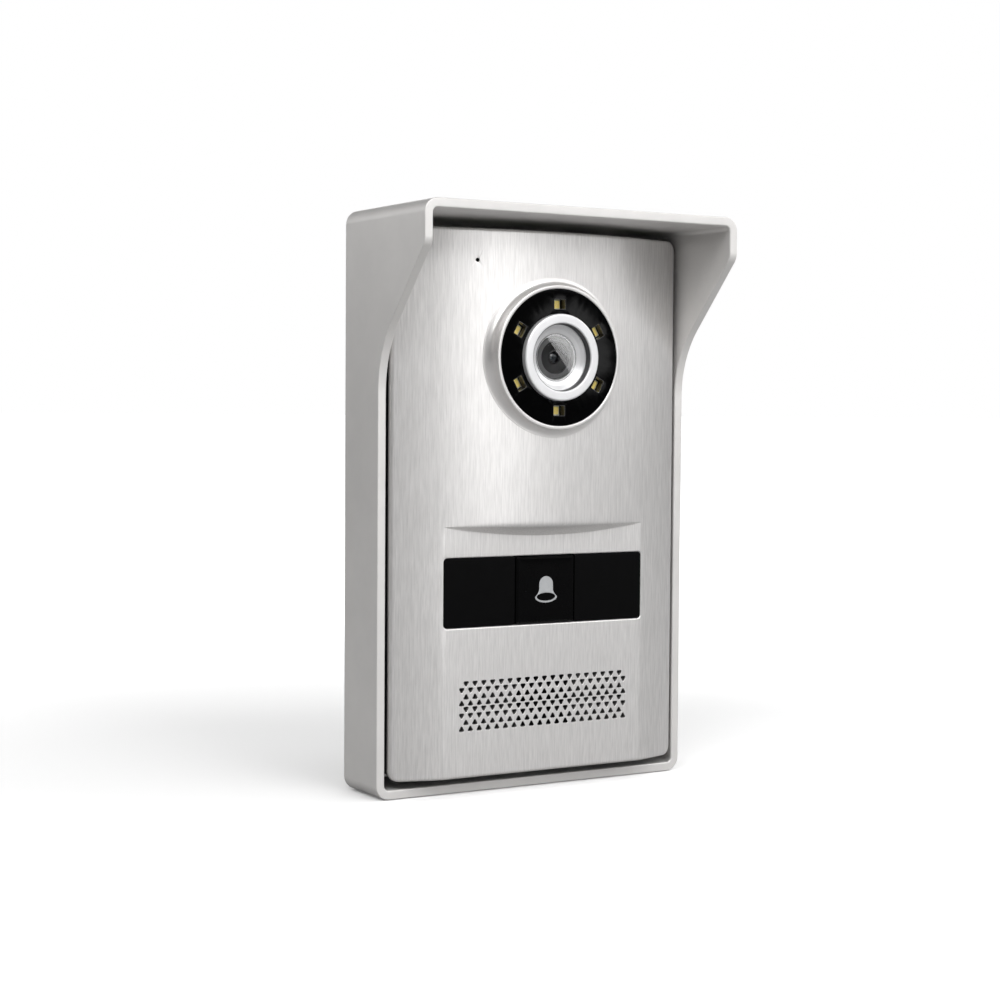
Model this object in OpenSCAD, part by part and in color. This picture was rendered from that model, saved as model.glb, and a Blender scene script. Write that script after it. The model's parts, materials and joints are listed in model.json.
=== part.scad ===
// Surface-mounted door station: a crowned aluminium call panel in an aluminium rain hood.
// X is the width, +Z is up. The wall plane is Y = 0 and the front faces -Y.
// "Depth" below is the distance in front of the wall, so a point at depth d has Y = -d.
// The origin is the centre of the hood's back face, which is also the centre of the wall slots.

/* [Rain hood] */
// Width of the hood
hood_w = 106.4; // [90:0.2:150]
// Height of the hood
hood_h = 170; // [150:1:230]
// Thickness of the hood's four walls
hood_wall = 2.7; // [2:0.1:3.4]
// Thickness of the hood's back plate
hood_back = 2; // [1.6:0.1:3]
// Outer corner radius of the hood
hood_corner = 4.2; // [3.6:0.1:8]
// Depth of the side walls below the visor
lip_depth = 21; // [21:0.5:30]
// How far the visor stands out in front of the side walls
visor_reach = 27; // [16:0.5:40]
// Height of the visor's upright front edge
visor_edge_h = 12.2; // [8:0.1:18]
// Angle of the sloping cheek edge, from the vertical
cheek_angle = 42.7; // [35:0.1:50]
// Radius where the cheek's slope runs into the side wall's edge
cheek_sweep = 30; // [10:1:34]
// Radius at the foot of the visor's upright edge
cheek_bend = 4; // [2:0.5:8]

/* [Wall fixing and cable entry] */
// Distance between the wall slots across the width
slot_span_x = 78; // [74:1:84]
// Distance between the wall slots up the height
slot_span_z = 134; // [124:1:140]
// Width of a wall slot
slot_w = 4.6; // [4:0.1:5.4]
// End-to-end length of a wall slot
slot_len = 9; // [7:0.5:11]
// Width of the cable opening in the hood's back
cable_w = 36; // [24:1:40]
// Height of the cable opening in the hood's back
cable_h = 24; // [16:1:26]
// Height of the cable opening's centre above the origin
cable_z = -24; // [-30:1:-20]

/* [Front panel] */
// Gap between the panel and the hood's side walls
side_gap = 1.05; // [0.8:0.05:2]
// Gap between the panel and the hood's bottom wall
bottom_gap = 2.5; // [1.5:0.1:4]
// Gap between the panel and the hood's top wall
top_gap = 2.9; // [2:0.1:6]
// How far the panel's side edges stand in front of the hood's lip
edge_proud = 0.6; // [0.2:0.1:1.5]
// How far the middle of the panel bulges in front of its side edges
crown_h = 9.3; // [8:0.1:12]
// Wall thickness of the panel
panel_wall = 1.8; // [1.4:0.1:2.4]
// Height of the panel's upright side edge
panel_edge = 1.5; // [1:0.1:2.5]
// Corner radius of the panel, seen from the front
panel_corner = 3; // [2:0.1:5]
// How deep the flat lower field is cut below the crown
flat_cut = 4.4; // [3.6:0.1:5]
// Height of the flat field's top edge above the panel's bottom edge
flat_top = 73.2; // [70:0.1:80]
// Height of the slanting facet above the flat field, at mid-width
facet_h = 3; // [2:0.1:6]

/* [Camera] */
// Distance from the panel's top edge down to the camera's axis
camera_drop = 36.75; // [34:0.25:44]
// Radius of the lamp cover around the camera
cover_r = 19.95; // [18:0.05:22]
// Width of the bezel's bright rim
rim_w = 1.1; // [0.8:0.1:2]
// Width of the bezel's flared foot
foot_w = 2.3; // [1.5:0.1:4]
// How far the bezel stands in front of the crown
bezel_proud = 2.6; // [2:0.1:4]
// Outer radius of the camera ring
ring_r = 12.7; // [12:0.1:14]
// Bore radius of the camera ring
ring_bore = 9.9; // [9:0.1:10.6]
// How far the camera ring stands in front of the lamp cover
ring_proud = 1.65; // [0.5:0.05:3]
// Radius of the lens window
lens_r = 6.95; // [6.6:0.05:7.6]
// How far the lens window lies behind the front of the camera ring
lens_recess = 3.45; // [2:0.05:4]
// Number of lamps
lamp_count = 6; // [3:1:8]
// Radius of the circle that the lamps stand on
lamp_circle = 15.5; // [15.3:0.05:15.8]
// Width of a lamp window
lamp_w = 4.1; // [3.8:0.1:5]
// Height of a lamp window
lamp_h = 3.2; // [3:0.1:3.6]

/* [Button strip] */
// Width of the strip's opening
strip_w = 68.8; // [60:0.2:72]
// Height of the strip's opening
strip_h = 20.3; // [16:0.1:22]
// Height of the strip's centre above the panel's bottom edge
strip_z = 54.05; // [50:0.05:58]
// Width of the call button
button_w = 20.2; // [16:0.2:26]
// How far the call button stands in front of the flat field
button_proud = 0.5; // [0.2:0.1:1]
// Travel of the call button
button_travel = 0.8; // [0.4:0.1:1.2]
// Gap around the call button
button_gap = 0.3; // [0.2:0.05:0.5]

/* [Speaker grille] */
// Holes in the longer rows
grille_cols = 20; // [12:1:22]
// Number of rows
grille_rows = 8; // [4:2:8]
// Distance between the holes in a row
grille_pitch = 2.98; // [2.6:0.02:3.2]
// Distance between the rows
grille_row = 1.86; // [1.8:0.02:2.1]
// Circumscribed radius of a triangular hole
grille_hole = 1.05; // [0.8:0.05:1.1]
// Height of the grille's centre above the panel's bottom edge
grille_z = 21; // [18:0.5:26]
// Radius of the speaker
speaker_r = 14; // [12:0.5:15]

/* [Microphone] */
// Distance of the microphone hole left of the middle
mic_x = 25.1; // [20:0.1:30]
// Distance of the microphone hole below the panel's top edge
mic_drop = 9.2; // [8:0.1:12]
// Radius of the microphone hole
mic_hole = 0.6; // [0.4:0.05:1]

/* [Hidden] */

fit = 0.05;              // clearance of pieces that seat in each other
through = 1;             // how far a cutter runs past the face it cuts
fine = 360;              // facets of the large, slow curves
round_fn = 96;
small_fn = 48;

// Hood
visor_depth = lip_depth + visor_reach;
hood_in_w = hood_w - 2 * hood_wall;
hood_in_h = hood_h - 2 * hood_wall;
hood_in_corner = hood_corner - hood_wall;
visor_foot_z = hood_h / 2 - visor_edge_h;
cheek_foot_z = visor_foot_z - visor_reach / tan(cheek_angle);
countersink_h = 1.7;
m3_r = 1.5;
m3_head_r = 2.8;

// Panel
panel_w = hood_in_w - 2 * side_gap;
panel_bottom = -hood_h / 2 + hood_wall + bottom_gap;
panel_top = hood_h / 2 - hood_wall - top_gap;
panel_h = panel_top - panel_bottom;
panel_mid = (panel_top + panel_bottom) / 2;
edge_depth = lip_depth + edge_proud;
panel_back = edge_depth - panel_edge;
crown_depth = edge_depth + crown_h;
crown_r = (pow(panel_w / 2, 2) + pow(crown_h, 2)) / (2 * crown_h);
panel_rim = 2.4;
flat_depth = crown_depth - flat_cut;
flat_back = flat_depth - panel_wall;
facet_tilt = atan(flat_cut / facet_h);
facet_r = crown_r / cos(facet_tilt);
flat_z = panel_bottom + flat_top;

// Rear housing and its screws
seal_t = 0.8;
housing_inset = 1;
housing_wall = 2;
housing_back = hood_back + 2.6;
housing_front = panel_back - seal_t;
housing_w = panel_w - 2 * housing_inset;
housing_h = panel_h - 2 * housing_inset;
housing_corner = 2.4;
post_r = 3.4;
post_x = panel_w / 2 - 8.4;
post_z = panel_h / 2 - 9.6;
post_foot = 13;
pocket_w = cable_w + 14;
pocket_top = cable_z + cable_h / 2 + 14;
pocket_bottom = cable_z - cable_h / 2 + 1;
pocket_depth = 5.4;
pocket_skin = 1.4;
hook_x = 25;
hook_z = 50;
hook_w = 10;
hook_reach = 3.2;
hook_up = 3.6;
hook_room = 0.6;
hook_skin = 1.5;

// Bracket
sheet = 1.2;
mouth_top = hook_z + sheet + fit;
mouth_bottom = mouth_top - hook_up - hook_room;
cavity_top = hook_z + hook_up + hook_room;
bracket_w = slot_span_x - slot_len - 4;
bracket_h = slot_span_z - slot_w - 20;
bracket_front = hood_back + sheet;
bracket_screw_x = bracket_w / 2 - 6;
bracket_screw_z = bracket_h / 2 - 14;
grommet_edge = 3;
grommet_lip = 2;

// Boards
board_t = 1.6;
board_back = housing_back + housing_wall + 5.8;
board_front = board_back + board_t;
main_w = 2 * (post_x - post_r - 1);
main_bottom = panel_bottom + 5;
main_top = panel_mid + 12;
cam_board_w = 40;
cam_board_h = 46;
board_screw_in = 4;
standoff_r = 2.8;
m2_r = 1.1;
m2_head_r = 2.1;
m2_head_h = 1.3;
m2_reach = 5;
screw_slip = 0.15;

// Camera
cam_z = panel_top - camera_drop;
rim_depth = crown_depth + bezel_proud;
cover_t = 1.6;
cover_front = rim_depth - 0.1;
cover_back = cover_front - cover_t;
bezel_in_r = cover_r + fit;
bezel_barrel_r = bezel_in_r + 1;
bezel_rim_r = bezel_in_r + rim_w;
bezel_foot_r = bezel_rim_r + foot_w;
bezel_hole_r = bezel_barrel_r + 0.1;
bezel_back = crown_depth - 5.5;
lamp_drop = 2.8;
led_w = 3.5;
led_h = 2.8;
led_t = 0.7;
led_front = cover_front - lamp_drop;
led_board_front = led_front - led_t;
led_board_t = 1.2;
shelf_in_r = bezel_in_r - 1.4;
ring_front = cover_front + ring_proud;
ring_flange_t = 1.2;
ring_back = led_board_front - led_board_t - ring_flange_t;
window_front = ring_front - lens_recess;
window_t = 0.7;
bowl_fall = 0.9;
bowl_back = window_front - 3;
barrel_front = window_front - window_t - 0.2;
barrel_head_h = 3.4;
barrel_r = 6;
barrel_face_r = 4.8;
barrel_back = board_front + 3;
holder_front = ring_back - 0.8;
element_r = 1.3;

// Button strip
strip_mid = panel_bottom + strip_z;
strip_corner = 1.1;
plate_sink = 0.1;
plate_t = 2.1;
plate_front = flat_depth - plate_sink;
plate_back = plate_front - plate_t;
plate_gap = 0.1;
carrier_t = 2.4;
carrier_back = plate_back - carrier_t;
carrier_over = 3.2;
strip_rim = 1.6;
button_h = strip_h - 2 * button_gap;
button_front = flat_depth + button_proud;
flange_over = 1.4;
flange_t = 1.5;
flange_front = carrier_back - 0.3;
flange_back = flange_front - flange_t;
button_chamfer = 0.6;
icon_t = 0.25;
bell_dome_r = 2.4;
bell_dome_z = 1.55;
bell_mouth_w = 7.7;
bell_mouth_h = 3.55;
bell_mouth_z = -2.15;
bell_flare_r = 2.9;
switch_side = 6.2;
switch_front = board_front + 3;
plunger_r = 1.7;
plunger_front = switch_front + 1.6;
plunger_back = board_front + button_travel + 0.4;

// Speaker and grille
grille_mid = panel_bottom + grille_z;
gasket_t = 0.9;
gasket_w = grille_cols * grille_pitch + 5;
gasket_h = grille_rows * grille_row + 5;
speaker_front = flat_back - gasket_t;
speaker_rim = 1.8;
speaker_port = 9.2;
magnet_r = 8;
basket_depth = 3.6;
basket_plate = 1;
magnet_front = speaker_front - speaker_rim - basket_depth - basket_plate;
magnet_back = board_front + 0.6;

// Microphone
mic_z = panel_top - mic_drop;
boot_r = 4.6;
boot_len = 6.5;
boot_front = crown_depth - panel_wall - 2.4;
capsule_r = 3;
capsule_t = 2.7;

// ---- Helpers: every outline is drawn as seen from the front, X right and Z up ----

// Outline pushed out from depth "back" to depth "front"
module slab(back, front)
    translate([0, -back, 0]) rotate([90, 0, 0]) linear_extrude(front - back) children();

// Profile of [radius, depth] turned about an axis that runs straight out of the wall
module turned(x = 0, z = 0, fn = round_fn)
    translate([x, 0, z]) rotate([90, 0, 0]) rotate_extrude($fn = fn) children();

// Round bar or hole that runs straight out of the wall
module bar(r, back, front, x = 0, z = 0, fn = small_fn)
    translate([x, -back, z]) rotate([90, 0, 0]) cylinder(r = r, h = front - back, $fn = fn);

// Rectangle with round corners
module rounded(w, h, r, x = 0, z = 0) {
    translate([x - w / 2 + r, z - h / 2]) square([w - 2 * r, h]);
    translate([x - w / 2, z - h / 2 + r]) square([w, h - 2 * r]);
    for (sx = [-1, 1], sz = [-1, 1])
        translate([x + sx * (w / 2 - r), z + sz * (h / 2 - r)]) circle(r = r, $fn = small_fn);
}

module rect(w, h, x = 0, z = 0)
    translate([x - w / 2, z - h / 2]) square([w, h]);

// Solid block in front of the wall, between two depths
module block(w, h, back, front, x = 0, z = 0)
    translate([x - w / 2, -front, z - h / 2]) cube([w, front - back, h]);

// Pan-head screw whose head is towards the wall (head_side -1) or the front (+1)
module pan_screw(r, head_r, head_h, seat, reach, x, z, head_side) {
    bar(r, min(seat, seat - head_side * reach), max(seat, seat - head_side * reach), x, z);
    difference() {
        bar(head_r, min(seat, seat + head_side * head_h), max(seat, seat + head_side * head_h), x, z);
        for (turn = [0, 90])
            translate([x, -(seat + head_side * head_h), z]) rotate([0, turn, 0])
                cube([head_r * 1.1, head_h, head_r * 0.3], center = true);
    }
}

// ---- Rain hood ----

// Side outline of the hood: depth to the right, height up
module hood_profile() {
    sweep_t = cheek_sweep * tan(cheek_angle / 2);
    bend_t = cheek_bend * tan(cheek_angle / 2);
    up = [sin(cheek_angle), cos(cheek_angle)];
    foot = [lip_depth, cheek_foot_z];
    knee = [visor_depth, visor_foot_z];
    difference() {
        polygon([[0, -hood_h / 2], [lip_depth, -hood_h / 2], foot, knee,
            [visor_depth, hood_h / 2], [0, hood_h / 2]]);
        difference() {
            polygon([knee + [0, bend_t], knee + [through, bend_t], knee - [0, bend_t],
                knee - bend_t * up]);
            translate(knee + [-cheek_bend, bend_t]) circle(r = cheek_bend, $fn = round_fn);
        }
    }
    difference() {
        polygon([foot - [0, sweep_t], foot + sweep_t * up, foot - [through, 0]]);
        translate(foot + [cheek_sweep, -sweep_t]) circle(r = cheek_sweep, $fn = fine);
    }
}

module wall_slot(x, z)
    slab(-through, hood_back + through)
        translate([x, z]) {
            rect(slot_len - slot_w, slot_w);
            for (s = [-1, 1])
                translate([s * (slot_len - slot_w) / 2, 0]) circle(r = slot_w / 2, $fn = small_fn);
        }

module rain_hood() {
    color("#c9c7c5")
    difference() {
        intersection() {
            rotate([90, 0, -90]) linear_extrude(hood_w, center = true) hood_profile();
            slab(0, visor_depth) rounded(hood_w, hood_h, hood_corner);
        }
        slab(hood_back, visor_depth + through) rounded(hood_in_w, hood_in_h, hood_in_corner);
        for (x = [-1, 1], z = [-1, 1]) wall_slot(x * slot_span_x / 2, z * slot_span_z / 2);
        slab(-through, hood_back + through) rounded(cable_w, cable_h, 3, 0, cable_z);
        for (x = [-1, 1], z = [-1, 1])
            bar(m3_r + fit, -through, hood_back + through, x * bracket_screw_x, z * bracket_screw_z);
        retaining_hole(m3_r + 0.2, m3_head_r + 0.1);
    }
}

// Countersunk hole up through the hood's bottom wall
module retaining_hole(shank, head) {
    translate([0, -screw_depth(), -hood_h / 2 - through])
        cylinder(r = shank, h = hood_wall + 2 * through, $fn = small_fn);
    translate([0, -screw_depth(), -hood_h / 2])
        cylinder(r1 = head, r2 = shank, h = countersink_h, $fn = small_fn);
}

function screw_depth() = (housing_back + housing_front) / 2;

module retaining_screw() {
    color("#9a9a9c")
    difference() {
        union() {
            translate([0, -screw_depth(), -hood_h / 2 + 0.1])
                cylinder(r1 = m3_head_r, r2 = m3_r, h = countersink_h - 0.2, $fn = small_fn);
            translate([0, -screw_depth(), -hood_h / 2 + 0.3])
                cylinder(r = m3_r, h = hood_wall + bottom_gap + housing_inset + 6, $fn = small_fn);
        }
        for (turn = [0, 90])
            translate([0, -screw_depth(), -hood_h / 2]) rotate([0, 0, turn])
                cube([m3_head_r * 1.1, 0.8, 1.6], center = true);
    }
}

module cable_grommet() {
    color("#1c1c1d")
    difference() {
        union() {
            slab(0.2, hood_back + fit) rounded(cable_w - 2 * fit, cable_h - 2 * fit, 3, 0, cable_z);
            slab(hood_back + fit, hood_back + 1.05)
                rounded(cable_w + 2 * grommet_lip, cable_h + 2 * grommet_lip, 4, 0, cable_z);
        }
        slab(-through, hood_back + 3)
            rounded(cable_w - 2 * grommet_edge, cable_h - 2 * grommet_edge, 2, 0, cable_z);
    }
}

// ---- Mounting bracket ----

module mounting_bracket() {
    color("#a9abad") {
        difference() {
            slab(hood_back, bracket_front) rounded(bracket_w, bracket_h, 4);
            slab(0, bracket_front + through)
                rounded(cable_w + 2 * grommet_lip + 1, cable_h + 2 * grommet_lip + 1, 4.4, 0, cable_z);
            for (x = [-1, 1], z = [-1, 1])
                bar(m3_r + screw_slip, 0, bracket_front + through,
                    x * bracket_screw_x, z * bracket_screw_z);
            for (z = [12, 28]) slab(0, bracket_front + through) rounded(26, 8, 3.9, 0, z);
            for (x = [-1, 1])
                slab(0, bracket_front + through) rect(hook_w + 1, hook_up + 1.5, x * hook_x,
                    hook_z + hook_up / 2 + 1.9);
        }
        for (x = [-1, 1]) {
            block(hook_w, sheet, hood_back, bracket_front + hook_reach + sheet,
                x * hook_x, hook_z + sheet / 2);
            block(hook_w, hook_up, bracket_front + hook_reach, bracket_front + hook_reach + sheet,
                x * hook_x, hook_z + hook_up / 2);
        }
    }
}

module bracket_screws() {
    color("#b4b5b8")
    for (x = [-1, 1], z = [-1, 1])
        pan_screw(m3_r, 2.6, 1.1, bracket_front, bracket_front - 0.2,
            x * bracket_screw_x, z * bracket_screw_z, 1);
}

// ---- Front panel ----

// Round bar along the height whose front line lies at depth "front"
module crown_bar(r, front)
    translate([0, -front + r, 0]) cylinder(r = r, h = 3 * hood_h, center = true, $fn = 4 * fine);

// What the flat field and its facet take away in front of the given inset
module flat_cutter(inset) {
    tilt_shift = inset / cos(facet_tilt);
    difference() {
        translate([-panel_w, -crown_depth - 10, panel_bottom - 10])
            cube([2 * panel_w, crown_depth + 10 - flat_depth + inset, flat_top + 20]);
        translate([0, -crown_depth + tilt_shift, flat_z]) rotate([facet_tilt, 0, 0])
            translate([0, facet_r, 0])
                cylinder(r = facet_r, h = 3 * hood_h, center = true, $fn = 4 * fine);
    }
}

// The panel's outer form, or its hollow when drawn with an inset
module panel_form(inset, rim, back) {
    difference() {
        intersection() {
            slab(back, crown_depth)
                rounded(panel_w - 2 * rim, panel_h - 2 * rim, panel_corner - rim * 0.8, 0, panel_mid);
            crown_bar(crown_r - inset, crown_depth - inset);
        }
        flat_cutter(inset);
    }
}

module grille_holes() {
    for (row = [0 : grille_rows - 1]) {
        cols = grille_cols - 1 + row % 2;
        spin = floor(row / 2) % 2 == 0 ? -90 : 90;
        nudge = spin < 0 ? 0.25 : -0.25;
        for (col = [0 : cols - 1])
            translate([(col - (cols - 1) / 2) * grille_pitch,
                grille_mid + ((grille_rows - 1) / 2 - row) * grille_row + nudge * grille_hole])
                rotate(spin) circle(r = grille_hole, $fn = 3);
    }
}

function post_places() = [for (x = [-1, 1], z = [-1, 0, 1]) [x * post_x, panel_mid + z * post_z]];

module front_panel() {
    color("#d3d1cf")
    difference() {
        union() {
            difference() {
                panel_form(0, 0, panel_back);
                panel_form(panel_wall, panel_rim, panel_back - through);
            }
            intersection() {
                union() {
                    for (p = post_places()) bar(post_r, post_foot, crown_depth, p[0], p[1]);
                    slab(plate_back, flat_depth - panel_wall / 2)
                        rect(strip_w + 2 * strip_rim, strip_h + 2 * strip_rim, 0, strip_mid);
                }
                crown_bar(crown_r - panel_wall / 2, crown_depth - panel_wall / 2);
            }
        }
        for (p = post_places()) bar(m3_r + fit, post_foot - through, post_foot + 7, p[0], p[1]);
        bar(bezel_hole_r, 0, crown_depth + through, 0, cam_z, round_fn);
        slab(0, crown_depth) rounded(strip_w, strip_h, strip_corner, 0, strip_mid);
        slab(flat_back - through, flat_depth + through) grille_holes();
        bar(mic_hole, 0, crown_depth, -mic_x, mic_z);
    }
}

module panel_seal() {
    color("#171718")
    slab(housing_front, panel_back) difference() {
        rounded(housing_w, housing_h, housing_corner, 0, panel_mid);
        rounded(housing_w - 2 * housing_wall, housing_h - 2 * housing_wall, 1, 0, panel_mid);
    }
}

// ---- Rear housing ----

function board_screw_places() = [
    for (x = [-1, 1], z = [0, 1])
        [x * (main_w / 2 - board_screw_in), z == 0 ? main_bottom + board_screw_in : main_top - board_screw_in],
    for (x = [-1, 1], z = [-1, 1])
        [x * (cam_board_w / 2 - board_screw_in), cam_z + z * (cam_board_h / 2 - board_screw_in)]
];

module terminal_window()
    rect(terminal_w() + 1, terminal_h() + 1, 0, terminal_z());

function terminal_w() = 26;
function terminal_h() = 9;
function terminal_z() = pocket_top - terminal_h() / 2 - 2;

// The hook's arm carries the top edge of the mouth, and its lip stands behind the wall above it
module hook_pocket(x) {
    block(hook_w + 2, mouth_top - mouth_bottom, housing_back - through, housing_back + 2, x,
        (mouth_top + mouth_bottom) / 2);
    block(hook_w + 2, cavity_top - mouth_bottom, housing_back + hook_skin, housing_back + 4, x,
        (cavity_top + mouth_bottom) / 2);
}

module rear_housing() {
    pocket_h = pocket_top - pocket_bottom;
    pocket_mid = (pocket_top + pocket_bottom) / 2;
    pocket_floor = housing_back + pocket_depth;
    color("#202122")
    difference() {
        union() {
            difference() {
                slab(housing_back, housing_front)
                    rounded(housing_w, housing_h, housing_corner, 0, panel_mid);
                slab(housing_back + housing_wall, housing_front + through)
                    rounded(housing_w - 2 * housing_wall, housing_h - 2 * housing_wall, 1, 0, panel_mid);
            }
            slab(housing_back, pocket_floor + pocket_skin - 0.8)
                rounded(pocket_w + 2 * pocket_skin, pocket_h + 2 * pocket_skin, 2, 0, pocket_mid);
            for (x = [-1, 1])
                block(hook_w + 5, cavity_top - mouth_bottom + 3, housing_back + 1, housing_back + 5.2,
                    x * hook_x, (cavity_top + mouth_bottom) / 2);
            for (p = post_places())
                bar(post_r + 0.8, housing_back, post_foot - 0.1, p[0], p[1]);
            for (p = board_screw_places())
                bar(standoff_r, housing_back + 1, board_back, p[0], p[1]);
            block(9, 8, housing_back + 1, housing_front - 1, 0,
                panel_bottom + housing_inset + 4);
        }
        slab(housing_back - through, pocket_floor)
            rounded(pocket_w, pocket_h, 1, 0, pocket_mid);
        slab(pocket_floor - through, board_back) terminal_window();
        for (x = [-1, 1]) hook_pocket(x * hook_x);
        for (p = post_places()) {
            bar(m3_r + screw_slip, housing_back - through, post_foot, p[0], p[1]);
            bar(m3_head_r + 0.2, housing_back - through, housing_back + 2, p[0], p[1]);
        }
        for (p = board_screw_places())
            bar(m2_r + fit, board_back - m2_reach, board_back + through, p[0], p[1]);
        translate([0, -screw_depth(), panel_bottom + housing_inset - through])
            cylinder(r = m3_r + fit, h = 9.5, $fn = small_fn);
    }
}

module housing_screws() {
    color("#8f9093")
    for (p = post_places())
        pan_screw(m3_r, m3_head_r, 1.8, housing_back + 2, post_foot + 5 - housing_back,
            p[0], p[1], -1);
}

// ---- Camera ----

module camera_bezel() {
    color("#dcdbd9") {
        difference() {
            turned(0, cam_z) polygon([[bezel_in_r, bezel_back + 1], [bezel_foot_r, bezel_back + 1],
                [bezel_foot_r, rim_depth - 3.7], [bezel_rim_r, rim_depth - 1.4],
                [bezel_rim_r, rim_depth - 0.3], [bezel_rim_r - 0.3, rim_depth],
                [bezel_in_r, rim_depth]]);
            crown_bar(crown_r + fit, crown_depth + fit);
        }
        turned(0, cam_z) polygon([[bezel_in_r, bezel_back], [bezel_barrel_r, bezel_back],
            [bezel_barrel_r, crown_depth + 0.5], [bezel_in_r, crown_depth + 0.5]]);
        turned(0, cam_z) polygon([[shelf_in_r, led_board_front], [bezel_in_r + 0.2, led_board_front],
            [bezel_in_r + 0.2, cover_back], [shelf_in_r, cover_back]]);
    }
}

// Places its children on the circle of lamps, each turned with its own angle
module lamp_ring()
    for (i = [0 : lamp_count - 1])
        translate([0, cam_z]) rotate(i * 360 / lamp_count) translate([0, lamp_circle]) children();

module led_cover() {
    color("#0b0b0c")
    difference() {
        turned(0, cam_z) polygon([[ring_r + 0.1, cover_back], [cover_r, cover_back],
            [cover_r, cover_front], [ring_r + 0.1, cover_front]]);
        slab(cover_back - through, cover_front + through) lamp_ring() rect(lamp_w, lamp_h);
    }
}

module led_panes() {
    color("#cfd0c8", 0.5)
    slab(cover_front - 1.1, cover_front - 0.1)
        lamp_ring() rect(lamp_w - 2 * fit, lamp_h - 2 * fit);
}

module led_board() {
    color("#141516")
    turned(0, cam_z) polygon([[ring_r + 0.1, led_board_front - led_board_t],
        [bezel_in_r - fit, led_board_front - led_board_t], [bezel_in_r - fit, led_board_front],
        [ring_r + 0.1, led_board_front]]);
}

module led_emitters() {
    color("#e3c95a")
    slab(led_board_front, led_front) lamp_ring() rect(led_w, led_h);
}

module camera_ring() {
    color("#e4e4e5")
    turned(0, cam_z) polygon([[ring_bore, ring_back], [bezel_in_r - fit, ring_back],
        [bezel_in_r - fit, ring_back + ring_flange_t], [ring_r, ring_back + ring_flange_t],
        [ring_r, ring_front - 0.5], [ring_r - 0.5, ring_front], [ring_bore + 0.3, ring_front],
        [ring_bore, ring_front - 0.3]]);
}

module lens_bowl() {
    seat_r = lens_r + fit;
    color("#cfcfd1")
    turned(0, cam_z) polygon([[seat_r - 0.6, bowl_back], [ring_bore - fit, bowl_back],
        [ring_bore - fit, window_front + bowl_fall], [ring_bore - 0.5, window_front + bowl_fall],
        [seat_r, window_front - 0.1], [seat_r, window_front - window_t],
        [seat_r - 0.6, window_front - window_t]]);
}

module lens_window() {
    color("#9fb0b8", 0.35)
    bar(lens_r, window_front - window_t, window_front, 0, cam_z, round_fn);
}

module lens_barrel() {
    head_back = barrel_front - barrel_head_h;
    color("#3c3d40")
    turned(0, cam_z) polygon([[0, barrel_back], [barrel_r, barrel_back], [barrel_r, head_back],
        [lens_r - 0.7, head_back], [lens_r - 0.7, barrel_front], [barrel_face_r, barrel_front],
        [barrel_face_r, barrel_front - 0.4], [element_r + 0.7, barrel_front - 0.7],
        [element_r + fit, barrel_front - 1.1], [element_r + fit, barrel_front - 1.9],
        [0, barrel_front - 1.9]]);
}

module lens_element() {
    dome = 4 * element_r;
    color("#2c3f4a", 0.6)
    intersection() {
        bar(element_r, barrel_front - 1.85, barrel_front - 0.9, 0, cam_z);
        translate([0, -(barrel_front - 0.9 - dome), cam_z]) sphere(r = dome, $fn = round_fn);
    }
}

module lens_holder() {
    color("#1a1a1c")
    difference() {
        union() {
            bar(barrel_r + 1.8, board_front + 1.2, holder_front, 0, cam_z, round_fn);
            block(17, 17, board_front, board_front + 4, 0, cam_z);
        }
        bar(barrel_r + fit, board_front + 2.6, holder_front + through, 0, cam_z, round_fn);
        block(9, 8, board_front - through, board_front + 2.7, 0, cam_z);
    }
}

module image_sensor() {
    color("#28323a")
    block(7.4, 6.4, board_front, board_front + 1.1, 0, cam_z);
}

// ---- Boards and what stands on them ----

module board_holes(from)
    for (i = [from : from + 3])
        bar(m2_r + screw_slip, board_back - through, board_front + through,
            board_screw_places()[i][0], board_screw_places()[i][1]);

module camera_board() {
    color("#1f5a3a")
    difference() {
        slab(board_back, board_front) rounded(cam_board_w, cam_board_h, 1.5, 0, cam_z);
        board_holes(4);
    }
}

module main_board() {
    color("#1f5a3a")
    difference() {
        slab(board_back, board_front)
            rounded(main_w, main_top - main_bottom, 1.5, 0, (main_top + main_bottom) / 2);
        slab(board_back - through, board_front + through)
            rect(12, 10, 0, panel_bottom + housing_inset + 4.6);
        board_holes(0);
    }
}

module board_screws() {
    color("#a8a9ac")
    for (p = board_screw_places())
        pan_screw(m2_r, m2_head_r, m2_head_h, board_front, board_t + m2_reach - 0.5, p[0], p[1], 1);
}

module terminal_block() {
    ways = 4;
    way = terminal_w() / ways;
    front = board_back;
    back = housing_back + 1.2;
    color("#2f8a4b")
    difference() {
        block(terminal_w(), terminal_h(), back, front, 0, terminal_z());
        for (i = [0 : ways - 1]) {
            x = (i - (ways - 1) / 2) * way;
            block(3.4, 6, back + 1.4, back + 4.4, x, terminal_z() - terminal_h() / 2);
            bar(1.6, back - through, back + 1, x, terminal_z() + 1);
        }
    }
}

module lock_relay() {
    color("#22304f")
    block(10, 15, board_front, board_front + 8, main_w / 2 - 8, main_top - 16);
}

module capacitors() {
    color("#26282c")
    for (i = [0, 1])
        bar(4, board_front, board_front + 7.5, -main_w / 2 + 7, main_top - 13 - i * 10);
}

module processor_shield() {
    color("#b9bbbd")
    block(18, 18, board_front, board_front + 2.2, 6, main_top - 14);
}

module ribbon_connectors() {
    color("#e9e4d6")
    for (z = ribbon_ends()) block(11, 3, board_front, board_front + 1.5, 0, z);
}

function ribbon_ends() = [main_top - 3, cam_z - cam_board_h / 2 + 3];

module ribbon_cable() {
    ends = ribbon_ends();
    color("#e8e6df")
    block(9, ends[1] - ends[0], board_front + 1.5, board_front + 1.8, 0, (ends[0] + ends[1]) / 2);
}

// ---- Button strip ----

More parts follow.
